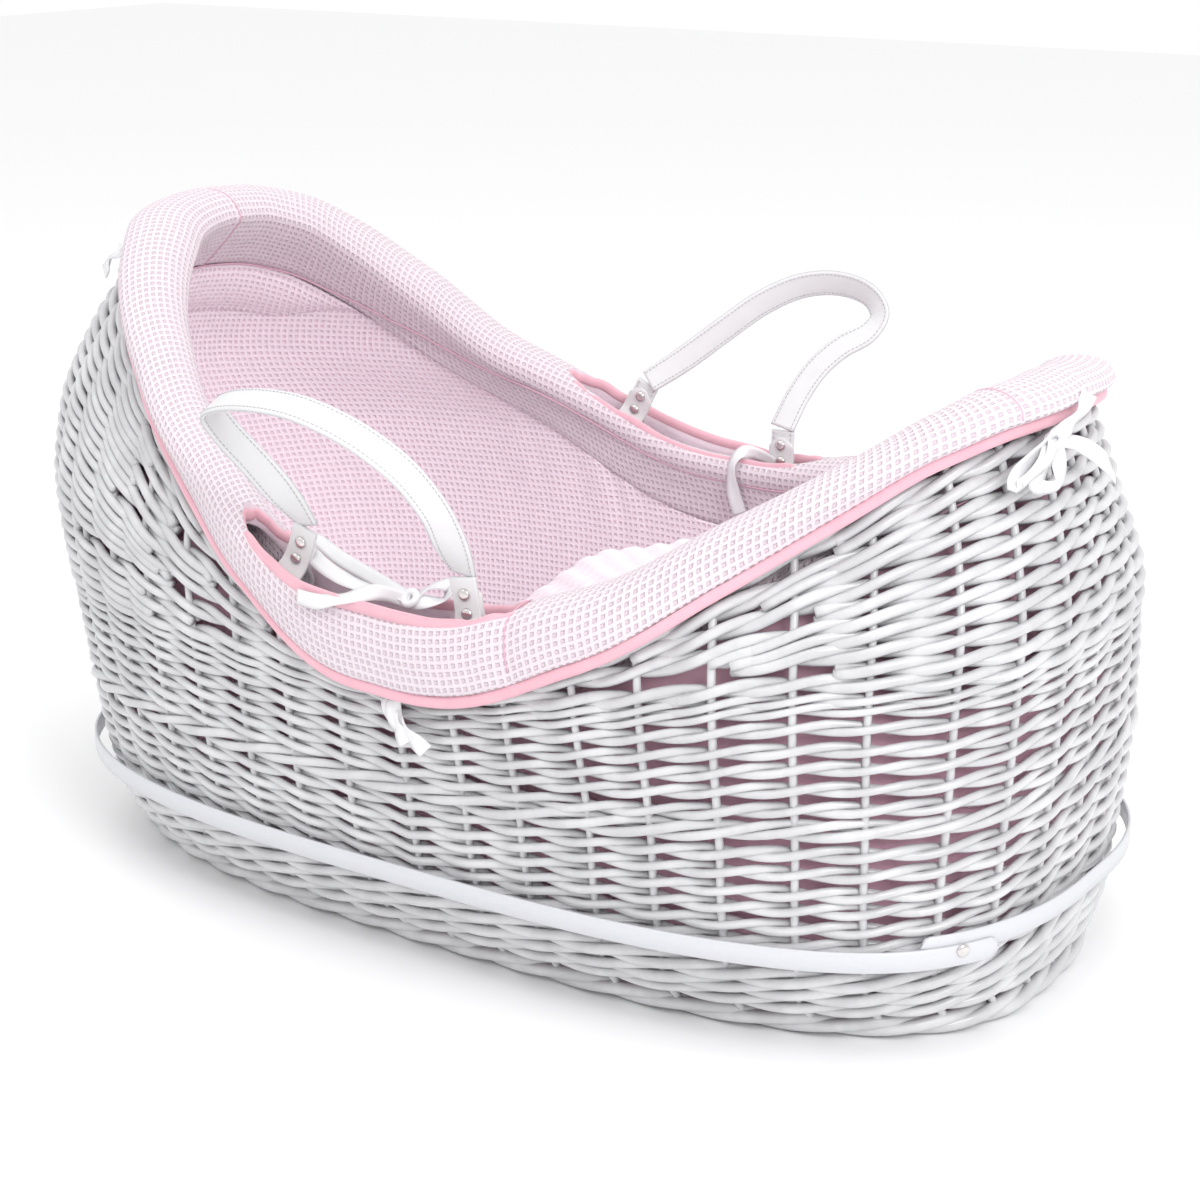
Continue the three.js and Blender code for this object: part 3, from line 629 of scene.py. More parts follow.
def make_lower_wall():
    climb = lower_top(angle_at(FULL_WALK)) - LOWER_TOP
    rows = lower_rows()
    halves = [Build(), Build()]
    for i, (height, radius, rods) in enumerate(rows):
        share = np.clip((height - CLIMB_FROM) / (LOWER_TOP - CLIMB_FROM), 0, 1)
        build = halves[i >= len(rows) // 2]
        at = height + climb * share + smooth_noise(FULL_WALK, 4, 100 + 7 * i, 1.1)
        if rods == 3:
            wale_row(build, FULL_WALK, at, radius, 500 + 9 * i)
        else:
            paired_row(build, FULL_WALK, at, radius, 700 + 9 * i, True, LOWER_RISE)
    for build, name in zip(halves, ("lower_wall_foot_rows", "lower_wall_upper_rows")):
        finish_piece(build.done(name, WILLOW), "basket", "wicker", "lower_wall")


def packing_rows(name, node, low_stake, high_stake, pitch, radius, seed):
    """Rows above the lower wall that fan from level to the slope of the rim, and stop one by one
    where the wall gets too low for them."""
    build = Build()
    stake = np.arange(round(low_stake * STEPS), round(high_stake * STEPS) + 1) / STEPS
    angle = angle_at(stake)
    low = lower_top(angle) + PACKING_CLEAR
    room = rim_height(angle) - RIM_DROP - RIM_ROD - radius - low - 1
    count = int(room.max() / pitch)
    ends = np.random.default_rng(seed)
    for row in range(count + 1):
        least = LEAST_GAPS[row % len(LEAST_GAPS)] * pitch * ends.uniform(0.75, 1.3)
        inside = (room / count >= least) & (room > 3) & (stake > stake[0] + ends.uniform(0, 1.2))
        inside &= stake < stake[-1] - ends.uniform(0, 1.2)
        if row == 0:
            inside = room > -2
        where = np.flatnonzero(inside)
        if len(where) < 3 * STEPS:
            continue
        part = slice(where[0], where[-1] + 1)
        height = (low + row / count * np.maximum(room, 0))[part]
        drift = smooth_noise(stake[part], 4, seed + 13 * row, 0.8)
        paired_row(build, stake[part], height + drift, radius, seed + 17 * row, False, PACKING_RISE)
    finish_piece(build.done(name, WILLOW), "basket", "wicker", node)


def make_stakes():
    build = Build()
    for i in range(STAKES):
        lean = rng.uniform(-0.05, 0.05)
        bend = rng.uniform(-0.06, 0.06)
        height = np.linspace(STAKE_LOW, float(rim_height(angle_at(i))) - RIM_DROP, 40)
        share = (height - height[0]) / (height[-1] - height[0])
        foot = 0.32 * np.clip(1 - (height - STAKE_LOW) / STAKE_FOOT, 0, 1)
        path, out = shell(i + lean * share + bend * np.sin(math.pi * share) + foot, height)
        build.tube(path, out, STAKE_RADIUS * rng.uniform(0.93, 1.08), 8)
    stakes = build.done("wicker_stakes", WILLOW)
    finish_piece(stakes, "basket", "wicker", "lower_wall", "foot_wall", "hood_wall")


# Three rods plaited like a rope: turns round the basket, swing, rod radius.
FOOT_PLAIT = (14, 4.4, 4.7)
RIM_PLAIT = (16, 2.9, 3.1)
FOOT_PLAIT_HEIGHT = 9.4
FOOT_PLAIT_RISE = 4.0
FOOT_PLAIT_MID = -9


def plait_turn(turns, strand):
    return 2 * math.pi * (FULL_WALK * turns / STAKES + strand / 3)


def make_foot_border():
    """Plait of thick rods, flat on the floor."""
    turns, swing, radius = FOOT_PLAIT
    build = Build()
    angle = angle_at(FULL_WALK)
    for strand in range(3):
        turn = plait_turn(turns, strand)
        height = FOOT_PLAIT_HEIGHT + FOOT_PLAIT_RISE * np.sin(turn)
        path = wall(angle, height, FOOT_PLAIT_MID + swing * np.cos(turn))
        out = unit(wall(angle, height, 5) - wall(angle, height, 0))
        build.tube(path, out, radius + smooth_noise(FULL_WALK, 6, 900 + strand, 0.3), 10, True)
    finish_piece(build.done("foot_border_plait", WILLOW), "basket", "wicker", "foot_border")


def make_rim_border():
    turns, swing, radius = RIM_PLAIT
    build = Build()
    angle = angle_at(FULL_WALK)
    centre = wall(angle, rim_height(angle) - RIM_DROP, WALL_MID)
    out = unit(wall(angle, 300, 5) - wall(angle, 300, 0))
    for strand in range(3):
        turn = plait_turn(turns, strand)
        path = centre + out * (swing * np.cos(turn))[:, None]
        path[:, 2] += swing * np.sin(turn)
        build.tube(path, out, radius, 8, True)
    finish_piece(build.done("rim_border_rods", WILLOW), "basket", "wicker", "rim_border")


BASE_REACH = 366.0
BASE_MIDDLE = 21.0
BASE_HALF = 179.0
BASE_SQUARENESS = 2.8
BASE_HEIGHT = 23.0
BASE_ROD_PITCH = 8.6
BASE_STICK_PITCH = 52


def base_end(share):
    """How far the base still reaches at a share of its other half size."""
    return (1 - min(1, share) ** BASE_SQUARENESS) ** (1 / BASE_SQUARENESS)


def make_base():
    """Long rods woven over cross sticks."""
    build = Build()
    upright = [0.0, 0.0, 1.0]
    for i, y in enumerate(np.arange(6 - BASE_HALF, BASE_HALF - 5, BASE_ROD_PITCH)):
        end = BASE_REACH * base_end(abs(y) / BASE_HALF)
        x = np.linspace(-end, end, 90)
        height = BASE_HEIGHT + 2.1 * np.sin(x / BASE_STICK_PITCH * math.pi + math.pi * (i % 2))
        path = np.stack([BASE_MIDDLE + x, np.full_like(x, y), height], -1)
        build.tube(path, np.tile(upright, (len(x), 1)), 3.4 + rng.uniform(-0.3, 0.3), 8, flat=0.7)
    for x in np.arange(-26, 26.1, 4) / 4 * BASE_STICK_PITCH:
        end = BASE_HALF * base_end(abs(x) / BASE_REACH)
        y = np.linspace(-end, end, 20)
        path = np.stack([np.full_like(y, BASE_MIDDLE + x), y, np.full_like(y, BASE_HEIGHT)], -1)
        build.tube(path, np.tile(upright, (len(y), 1)), 3.0, 8, flat=0.6)
    finish_piece(build.done("base_rods", WILLOW), "basket", "wicker", "woven_base")


# ---- Band -----------------------------------------------------------------

BAND_SECTIONS = 700


def band_places(along):
    """Angle, low edge and inner offset of the band at a walk along it, in degrees from its start."""
    under = 1 - smoothstep(along, BAND_LAP_ANGLE, 3.2 * BAND_LAP_ANGLE)
    over = smoothstep(along, 360 - 2 * BAND_LAP_ANGLE, 360)
    low = BAND_LOW + BAND_LAP_RISE * under
    return BAND_LAP_START + along, low, BAND_STANDOFF + over * (BAND_THICKNESS + 0.6)


def make_band():
    lap_end = BAND_LAP_START + 360 + BAND_LAP_ANGLE
    start, end = np.interp([BAND_LAP_START, lap_end], walk_angles, walk_lengths)
    along = np.interp(np.linspace(start, end, BAND_SECTIONS), walk_lengths, walk_angles) - BAND_LAP_START
    angle, low, inside = band_places(along)
    place = np.arange(BAND_SECTIONS)
    to_end = np.minimum(place, place[::-1]) * (end - start) / BAND_SECTIONS
    half = BAND_HEIGHT / 2
    trim = np.where(to_end < half, half - np.sqrt(np.maximum(half ** 2 - (half - to_end) ** 2, 0)), 0)
    profile = [(0.6, 0), (0, 0.5), (0, BAND_THICKNESS - 0.6), (0.7, BAND_THICKNESS),
               (half, BAND_THICKNESS + 0.25)]
    profile += [(BAND_HEIGHT - rise, depth) for rise, depth in profile[3::-1]]
    rows = []
    for rise, depth in profile:
        points = wall(angle, BAND_TOP, inside + depth)
        points[:, 2] = low + np.clip(rise, trim, BAND_HEIGHT - trim)
        rows.append(points)
    build = Build()
    build.loft(np.stack(rows, 1))
    finish_piece(build.done("bent_band_strip", BAND, fix=True), "basket", "band", "bent_band")


# Radius and height of a rivet head's outline, as shares of its own.
DOME_PROFILE = ((0.03, 0), (1, 0), (1, 0.25), (0.93, 0.5), (0.75, 0.8), (0.45, 0.96), (0.03, 1))
BAND_RIVET = (4.6, 2.2)
LOOP_RIVET = (4.3, 1.9)


def dome(build, centre, out, radius, height, sides=24):
    """Domed button standing on a flat disc."""
    out = unit(np.asarray(out, float))
    across = unit(np.cross(out, [0.0, 0.0, 1.0]))
    over = np.cross(out, across)
    turn = np.arange(sides) * 2 * math.pi / sides
    ring = np.cos(turn)[:, None] * across + np.sin(turn)[:, None] * over
    build.loft(np.stack([centre + ring * radius * r + out * height * h for r, h in DOME_PROFILE]))


def make_band_fasteners():
    angle = BAND_LAP_START + BAND_LAP_ANGLE / 2
    face = wall(angle, BAND_TOP, BAND_STANDOFF + 2 * BAND_THICKNESS + 0.8)
    face[2] = BAND_LOW + (BAND_HEIGHT + BAND_LAP_RISE) / 2
    out = wall(angle, BAND_TOP, 60) - wall(angle, BAND_TOP, 50)
    build = Build()
    dome(build, face, out, *BAND_RIVET)
    finish_piece(build.done("band_rivet_head", STEEL, fix=True), "basket", "steel", "band_rivet")


# ---- Handles --------------------------------------------------------------

LOOP_SECTIONS = 64
LOOP_THICKNESS = 2.6
LOOP_GAP = 1.5           # from the middle of each of a loop's layers to the middle between them
# Outline of a loop's leather, as a share of its half width and a depth into it.
LOOP_OUTLINE = [(-1, 0.3), (-0.93, 0), (0, 0), (0.93, 0), (1, 0.3)]
LOOP_OUTLINE += [(width, LOOP_THICKNESS - depth) for width, depth in LOOP_OUTLINE[::-1]]
# Outline of a strap, as shares of its half width and half thickness.
STRAP_OUTLINE = [(-1, -0.45), (-0.95, -0.85), (-0.86, -1), (0, -1.06), (0.86, -1), (0.95, -0.85), (1, -0.45)]
STRAP_OUTLINE += [(width, -depth) for width, depth in STRAP_OUTLINE[::-1]]
LOOP_SEAM_INSET = 2.4
STRAP_SEAM_INSET = 2.3
STITCH_PITCH = 3.4
STITCH_LENGTH = 2.2
STITCH_RADIUS = 0.32

def rim_angle(x, sign):
    angles = np.linspace(20, 160, 14001)
    places = wall(angles, rim_height(angles))[:, 0]
    return sign * float(np.interp(-x, -places, angles))


def loop_frame(side, anchor):
    """Origin on the rim line, then outwards, along the rim and up, for one end loop."""
    sign = HANDLES[side]["sign"]
    angle = rim_angle(anchor, sign)

    def rim_point(at, offset):
        return wall(at, rim_height(at), offset)

    origin = wall(angle, rim_height(angle) - RIM_DROP, WALL_MID)
    out = unit(rim_point(angle, 1) - rim_point(angle, 0))
    along = rim_point(angle - sign, WALL_MID) - rim_point(angle + sign, WALL_MID)
    along = unit(along - out * along.dot(out))
    up = unit(np.cross(along, out))
    up = up if up[2] > 0 else -up
    return origin + up * RIM_DROP, out, along, up


def in_frame(place, across, along, rise):
    origin, out, length, up = place
    return origin + out * across + length * along + up * rise


def stitches(build, path, out):
    """Short thread stitches along a path."""
    steps = path_lengths(path)
    for start in np.arange(STITCH_PITCH / 2, steps[-1] - STITCH_LENGTH, STITCH_PITCH):
        at = start + np.array([0, 0.5, 1]) * STITCH_LENGTH
        points = np.stack([np.interp(at, steps, path[:, k]) for k in range(3)], -1)
        lift = np.stack([np.interp(at, steps, out[:, k]) for k in range(3)], -1)
        points += lift * np.array([0.0, 0.22, 0.0])[:, None]
        build.tube(points, lift, STITCH_RADIUS, 6)


def loop_shape():
    """A loop's line from its outer tip, round the rim border to its inner tip, as places across and
    up from the rim, with the line's normals and half widths."""
    inner = RIM_ROD + 3.6
    path = [(LOOP_GAP, LOOP_TOP - 2.4), (LOOP_GAP, 16), (inner - 1, 4)]
    for turn in np.radians(np.linspace(20, -200, 12)):
        cos = math.cos(turn)
        path.append((inner * cos + 0.6 * np.sign(cos), inner * math.sin(turn) - RIM_DROP))
    path += [(1 - inner, 4), (-LOOP_GAP, 16), (-LOOP_GAP, LOOP_TOP - 7)]
    line = even_curve(path, LOOP_SECTIONS)
    tangent = unit(np.gradient(line, axis=0))
    normal = np.stack([tangent[:, 1], -tangent[:, 0]], -1)
    length = path_lengths(line)
    half = STRAP_WIDTH / 2 + (LOOP_WIDTH / 2 - 1 - STRAP_WIDTH / 2) * smoothstep(length, 20, 50)
    return line, normal, np.minimum(half, 2.5 + (length[-1] - length) * 1.15)


def make_loop_leather(name, place):
    line, normal, half = loop_shape()
    rows = []
    for width, depth in LOOP_OUTLINE:
        spots = line + normal * (LOOP_THICKNESS / 2 - depth)
        rows.append(np.stack([in_frame(place, s[0], width * w, s[1]) for s, w in zip(spots, half)]))
    build = Build()
    build.loft(np.stack(rows, 1))
    finish_piece(build.done(name + "_leather", LEATHER, fix=True), "basket", "leather", name)


def make_loop_stitching(name, place):
    """Seams along both edges of the loop's upright layers."""
    line, normal, half = loop_shape()
    face = line + normal * (LOOP_THICKNESS / 2 + 0.1)
    out = np.stack([unit(in_frame(place, n[0], 0, n[1]) - place[0]) for n in normal])
    build = Build()
    for edge in (-1, 1):
        seam = np.stack([
            in_frame(place, s[0], edge * max(w - LOOP_SEAM_INSET, 0.5), s[1]) for s, w in zip(face, half)
        ])
        for part in (slice(0, 22), slice(42, 63)):
            stitches(build, seam[part], out[part])
    finish_piece(build.done(name + "_stitching", STITCH), "basket", "leather")


def make_loop_rivets(start, place):
    for i, rise in enumerate(RIVET_HEIGHTS):
        build = Build()
        for face in (-1, 1):
            spot = in_frame(place, face * (LOOP_GAP + LOOP_THICKNESS / 2), 0, rise)
            dome(build, spot, place[1] * face, *LOOP_RIVET)
        name = f"{start}_rivet_{i + 1}"
        finish_piece(build.done(name + "_heads", STEEL, fix=True), "basket", "steel", name)


def make_loop(side, end, anchor):
    place = loop_frame(side, anchor)
    make_loop_leather(f"{side}_{end}_loop", place)
    make_loop_stitching(f"{side}_{end}_loop", place)
    make_loop_rivets(f"{side}_{end}", place)


def strap_sections(side, count=150):
    """Centres, half widths and half depths of a strap, from its head end to its foot end."""
    handle = HANDLES[side]
    ends = [in_frame(loop_frame(side, anchor), 0, 0, LOOP_TOP) for anchor in handle["anchors"]]
    along = unit(ends[1] - ends[0])
    lean = math.radians(handle["lean"])
    up = np.array([0, handle["sign"] * math.sin(lean), math.cos(lean)])
    up = unit(up - along * up.dot(along))
    across = unit(np.cross(along, up))
    stretch = np.linalg.norm(ends[1] - ends[0]) / handle["route"][-1][0]
    path = np.stack([ends[0] + along * a * stretch + up * b for a, b in handle["route"]])
    centre = even_curve(path, count)
    tangent = unit(np.gradient(centre, axis=0))
    twist = np.radians(read_table(np.array(handle["twists"], float), np.linspace(0, 1, count)))[:, None]
    width = unit(np.cross(across, tangent) * np.cos(twist) + across * np.sin(twist))
    depth = np.cross(tangent, width)
    return centre, width, depth


def make_strap(side):
    centre, width, depth = strap_sections(side)
    half, thick = STRAP_WIDTH / 2, STRAP_THICKNESS / 2
    build = Build()
    build.loft(np.stack([centre + width * half * w + depth * thick * d for w, d in STRAP_OUTLINE], 1))
    body = f"{side}_handle"
    name = f"{side}_handle_strap"
    finish_piece(build.done(name + "_leather", LEATHER, fix=True), body, "leather", name)
    thread = Build()
    for edge in (-1, 1):
        for face in (-1, 1):
            seam = centre + width * (half - STRAP_SEAM_INSET) * edge + depth * (thick + 0.05) * face
            stitches(thread, seam, depth * face)
    finish_piece(thread.done(name + "_stitching", STITCH), body, "leather")
    edges = Build()
    for edge in (-1, 1):
        edges.tube(centre + width * (half + 0.05) * edge, depth, 0.55, 6)
    finish_piece(edges.done(name + "_edge_line", EDGE_PAINT), body, "leather")


# ---- Dressing -------------------------------------------------------------

RING = 640               # sections round the dressing
FLAP_TAPE_OFFSET = 6.2
SLIT_TAPE_RISE = 15.5


def ring_places(count=RING):
    return np.arange(count) * STAKES / count


def ring_uv(grid):
    """Lengths along both directions of a grid that closes along its rows, for a cloth's weave."""
    closed = np.concatenate([grid, grid[:1]])
    closed = np.concatenate([closed, closed[:, :1]], 1)
    along = np.linalg.norm(np.diff(closed, axis=0), axis=2).mean(1)
    u = np.concatenate([[0], np.cumsum(along)])
    across = np.linalg.norm(np.diff(closed, axis=1), axis=2)
    v = np.concatenate([np.zeros((len(closed), 1)), np.cumsum(across, 1)], 1)
    return np.stack(np.broadcast_arrays(u[:, None], v), -1)


def slit_span(side):
    """Both ends of a handle's slit, counted in stakes."""
    head, foot = HANDLES[side]["anchors"]
    sign = HANDLES[side]["sign"]
    return sorted(stake_at(rim_angle(x, sign)) for x in (head - SLIT_REACH, foot + SLIT_REACH))


def near_slit(angle):
    """1 inside a handle slit, falling to 0 a little past its ends."""
    place = stake_at(angle)
    share = np.zeros_like(angle)
    for side in HANDLES:
        low, high = slit_span(side)
        for turn in (-STAKES, 0, STAKES):
            away = np.maximum(np.maximum(low + turn - place, place - high - turn), 0)
            share = np.maximum(share, 1 - smoothstep(away, 0, 2.2))
    return share


def slit_flatness(angle):
    """How far the roll is flattened to plain lining: 1 along the handle slits, 0 at hood and foot."""
    x = wall(angle, rim_height(angle))[..., 0]
    return smoothstep(x, -330, -125) * (1 - smoothstep(x, 140, 235))


# Inner face of the roll as [offset, rise] where it is full, and where it lies flat.
ROLL_INNER = np.array([
    [-28, 19], [-34.5, 15], [-39.5, 9], [-42.5, 1], [-43, -8], [-42, -18], [-40, -26], [-38, -34], [-36, -39],
    [-33, -40.5], [-32, -41], [-28, -41], [-24.5, -38],
], float)
FLAT_INNER = np.array([
    [-27, 18], [-30.5, 15], [-32.5, 12], [-33, 9], [-33, 6], [-32.5, 3], [-31.5, 1], [-30.5, -1], [-30, -8],
    [-29.5, -20], [-29, -41], [-27, -41], [-24.5, -38],
], float)


def padded_section(angle, ripple):
    """Closed outline of the padded rim at each angle: rings x points x 3."""
    hang = flap_height(angle) + BINDING_HEIGHT + 0.3 - rim_height(angle)
    flat = slit_flatness(angle)
    outer = [
        (9, hang), (12.5, 0.7 * hang + 3), (14.5, hang / 2 + 6), (14, 8), (11.5, 14.5), (4, 19.5), (-4, 21.4),
        (-12, 22), (-20, 21.2),
    ]
    inner = [
        full[:, None] * (1 - flat) + level[:, None] * flat
        for full, level in zip(ROLL_INNER, FLAT_INNER)
    ]
    under = [(-24, -22), (-23, -6), (-21, 5), (-15, 7.5), (-9, 8), (-3, 7.5), (1, 5.5), (2, hang + 1)]
    puffed = len(outer) + len(inner) - 4
    rows = []
    for i, (offset, rise) in enumerate(outer + inner + under):
        puff = ripple if i < puffed else 0
        rows.append(dressed(angle, offset + 0.8 * puff, rise + 0.5 * puff))
    return np.stack(rows, 1)


# Cross seams of the roll: behind the head, at the foot and on both sides of the foot's rise.
SEAM_ANGLES = (180, -16, rim_angle(126, -1), rim_angle(126, 1))
SEAM_WIDTH = 0.16        # in stakes
SEAM_DEPTH = 2.2


def seam_groove(stake):
    """1 on a cross seam of the roll, falling away beside it."""
    depth = np.zeros_like(stake)
    for angle in SEAM_ANGLES:
        away = (stake - stake_at(angle) + STAKES / 2) % STAKES - STAKES / 2
        depth = np.maximum(depth, np.exp(-(away / SEAM_WIDTH) ** 2))
    return depth


def refine_section(grid, count=84):
    return np.stack([even_curve(row, count, closed=True) for row in grid])


def slit_cutter(side):
    """Long slot with rounded ends through the roll for one handle."""
    low, high = slit_span(side)
    t = np.linspace(0, 1, 60)
    angle = angle_at(low + (high - low) * t)
    open_by = np.maximum(np.sqrt(np.clip(1 - (2 * t - 1) ** 6, 0, 1)), 0.06)
    middle, half = (SLIT_OUT + SLIT_IN) / 2, (SLIT_OUT - SLIT_IN) / 2
    right = [(1, -60), (1, 0), (1, SLIT_BED), (1.3, 40)]
    outline = [(-1, -60)] + right + [(-edge, rise) for edge, rise in right[:0:-1]]
    build = Build()
    build.loft(np.stack([dressed(angle, middle + half * edge * open_by, rise) for edge, rise in outline], 1))
    return build.done(f"{side}_cutter", WAFFLE_SHADED, fix=True)


def cut_with(piece, cutter):
    """Cuts cutter's shape out of piece and drops the cutter."""
    modifier = piece.modifiers.new("cut", "BOOLEAN")
    modifier.operation = "DIFFERENCE"
    modifier.solver = "EXACT"
    modifier.object = cutter
    bpy.context.view_layer.update()
    graph = bpy.context.evaluated_depsgraph_get()
    mesh = bpy.data.meshes.new_from_object(piece.evaluated_get(graph))
    piece.modifiers.clear()
    piece.data = mesh
    bpy.data.objects.remove(cutter)


def roll_ripple(stake):
    """Soft unevenness of the roll, more along the slits, with a dip at each cross seam."""
    slit = near_slit(angle_at(stake))
    gathers = smooth_noise(stake, 0.9, 41, 0.7) * (0.5 + 2.2 * slit * (1 - 0.5 * slit))
    return gathers + smooth_noise(stake, 3, 42, 0.8) - SEAM_DEPTH * seam_groove(stake)


def make_roll_seams(grid):
    build = Build()
    for angle in SEAM_ANGLES:
        path = grid[round(stake_at(angle) % STAKES / STAKES * RING) % RING][3:52]
        build.tube(path, unit(np.cross(np.gradient(path, axis=0), [0.3, 0.2, 0.9])), 0.55, 6)
    finish_piece(build.done("roll_cross_seams", SEAM), "basket", "binding")


def make_padded_rim():
    stake = ring_places()
    grid = refine_section(padded_section(angle_at(stake), roll_ripple(stake)))
    build = Build()
    build.grid(grid, True, True, ring_uv(grid))
    rim = build.done("padded_rim_waffle", WAFFLE_SHADED, fix=True)
    make_roll_seams(grid)
    for side in HANDLES:
        cut_with(rim, slit_cutter(side))
    finish_piece(rim, "basket", "waffle", "padded_rim")


# Outline of a folded tape, as shares of its half thickness and half width.
TAPE_OUTLINE = ((0.0, -1.0), (0.7, -0.85), (1.0, -0.4), (1.0, 0.4), (0.7, 0.85), (0.0, 1.0), (-0.7, 0.9),
                (-0.8, 0), (-0.7, -0.9))


def tape(name, path, out, up, width, thick, body, node):
    """Bias tape folded over an edge, as a rounded strip along a closed path."""
    grid = np.stack([path + out * thick / 2 * a + up * width / 2 * b for a, b in TAPE_OUTLINE], 1)
    build = Build()
    build.grid(grid, True, True, ring_uv(grid))
    finish_piece(build.done(name, TAPE, fix=True), body, "binding", node)


def make_flap_binding():
    stake = ring_places(900)
    angle = angle_at(stake)
    low = flap_height(angle) - rim_height(angle)
    offset = FLAP_TAPE_OFFSET + smooth_noise(stake, 0.7, 77, 0.35)
    path = dressed(angle, offset, low + BINDING_HEIGHT / 2)
    up = unit(dressed(angle, offset, low + BINDING_HEIGHT) - dressed(angle, offset, low))
    level = unit(dressed(angle, 10, low) - dressed(angle, 5, low))
    out = unit(level - up * (level * up).sum(1)[:, None])
    tape("flap_bias_tape", path, out, up, BINDING_HEIGHT + 0.6, 4.6, "basket", "flap_binding")


def make_slit_bindings():
    for side in HANDLES:
        low, high = slit_span(side)
        turn = np.linspace(0, 2 * math.pi, 220, endpoint=False)
        place = (low + high) / 2 + (high - low) / 2 * signed_power(np.cos(turn), 0.45)
        middle, half = (SLIT_OUT + SLIT_IN) / 2, (SLIT_OUT - SLIT_IN) / 2 + 3.4
        offset = middle + half * signed_power(np.sin(turn), 0.75)
        wobble = 0.9 * np.sin(9 * turn + 1) + 0.6 * np.sin(17 * turn)
        path = even_curve(dressed(angle_at(place), offset, SLIT_TAPE_RISE + wobble), 220, closed=True)
        tangent = unit(np.roll(path, -1, 0) - np.roll(path, 1, 0))
        out = unit(np.cross(tangent, [0.0, 0.0, 1.0]))
        up = unit(np.cross(out, tangent))
        tape(f"{side}_slit_bias_tape", path, out, up, 8.5, 6.0, "basket", f"{side}_slit_binding")


def make_lining():
    stake = ring_places()
    angle = angle_at(stake)
    low = BASE_LOW + 1.5
    top = rim_height(angle) - LINER_TOP
    slit = near_slit(angle)
    count = 70
    share = np.linspace(0, 1, count)
    gathers = 3.2 * slit * smooth_noise(stake, 0.55, 61)
    folds = gathers[:, None] * smoothstep(share, 0.35, 1)[None]
    folds = folds + smooth_noise(stake, 2.5, 62, 1.2)[:, None] * np.sin(math.pi * share)[None]
    height = low + (top[:, None] - low) * share[None]
    inner = wall(angle[:, None], height, LINER_IN - 0.5 - np.abs(folds))
    outer = wall(angle[:, None], height, LINER_OUT - np.abs(folds))
    grid = np.concatenate([inner, outer[:, ::-1]], 1)
    build = Build()
    build.grid(grid, True, True, ring_uv(grid))
    piece = build.done("cotton_lining_waffle", LINING, fix=True)
    # The outer face gets the darker backing colour: painted shade behind the wicker.
    piece.data.materials.append(SHADED_BACKING)
    column = np.arange(len(piece.data.polygons)) % (2 * count)
    piece.data.polygons.foreach_set("material_index", (column >= count).astype(np.int32))
    finish_piece(piece, "basket", "lining", "cotton_lining")


# The valance: angles of its ends, top and least drop below the rim, further drop, puff.
VALANCE_ANGLES = (128, 232)
VALANCE_TOP = 42.5
VALANCE_DROP = 43
VALANCE_DEEPER = 41
VALANCE_PUFF = 8.5


def make_valance():
    """Padded band inside the hood."""
    stake = np.linspace(*stake_at(np.array(VALANCE_ANGLES)), 260)
    angle = angle_at(stake)
    ends = smoothstep(np.minimum(stake - stake[0], stake[-1] - stake), 0, 2.5)
    low = -(VALANCE_DROP + VALANCE_DEEPER * ends)
    puff = VALANCE_PUFF * ends + 1.5
    turn = np.linspace(0, 1, 22)
    rows = []
    for t in turn:
        offset = LINER_IN - 2.2 - puff * math.sin(math.pi * min(1, 0.08 + t)) ** 0.6
        rise = (low + VALANCE_TOP) * t - VALANCE_TOP
        rows.append(dressed(angle, offset + smooth_noise(stake, 1.1, 88, 0.6) * t, rise))
    for t in turn[::-1]:
        rise = (low + VALANCE_TOP + 1) * t - VALANCE_TOP - 1
        rows.append(dressed(angle, LINER_IN - 1.6, rise))
    grid = np.stack(rows, 1)
    build = Build()
    build.loft(grid, ring_uv(grid))
    piece = build.done("hood_valance_waffle", LINING, fix=True)
    finish_piece(piece, "basket", "lining", "hood_valance")


def make_roll_piping():
    """Piped seam where the roll meets the lining."""
    angle = angle_at(ring_places(500))
    flat = slit_flatness(angle)
    path = dressed(angle, -37.6 + 6.6 * flat, -LINER_TOP - 0.4 + (LINER_TOP - 1) * flat)
    out = unit(dressed(angle, 5, -40) - dressed(angle, 0, -40))
    build = Build()
    build.tube(path, out, 0.7, 8, True)
    finish_piece(build.done("roll_seam_piping", SEAM), "basket", "binding")


# ---- Bedding --------------------------------------------------------------

MATTRESS_THICKNESS = 38
MATTRESS_MIDDLE = 20
MATTRESS_REACH = 350
MATTRESS_HALF = 153
MATTRESS_SQUARENESS = 2.8
COVERLET_LOW = 66.2
COVERLET_HALF = 150
COVERLET_SQUARENESS = 3
COVERLET_MIDDLE = (COVERLET_HEAD + COVERLET_FOOT) / 2
COVERLET_REACH = (COVERLET_FOOT - COVERLET_HEAD) / 2


def oval(reach, half, power, count):
    turn = np.linspace(0, 2 * math.pi, count, endpoint=False)
    return np.stack([
        reach * signed_power(np.cos(turn), 2 / power), half * signed_power(np.sin(turn), 2 / power)], -1)


def cushion(name, material, rows):
    """Cushion through its outlines from the bottom up, its cloth laid flat over the plan."""
    grid = np.stack(rows)
    build = Build()
    build.loft(grid, np.concatenate([grid, grid[:, :1]], 1)[..., :2])
    return build.done(name, material, fix=True)


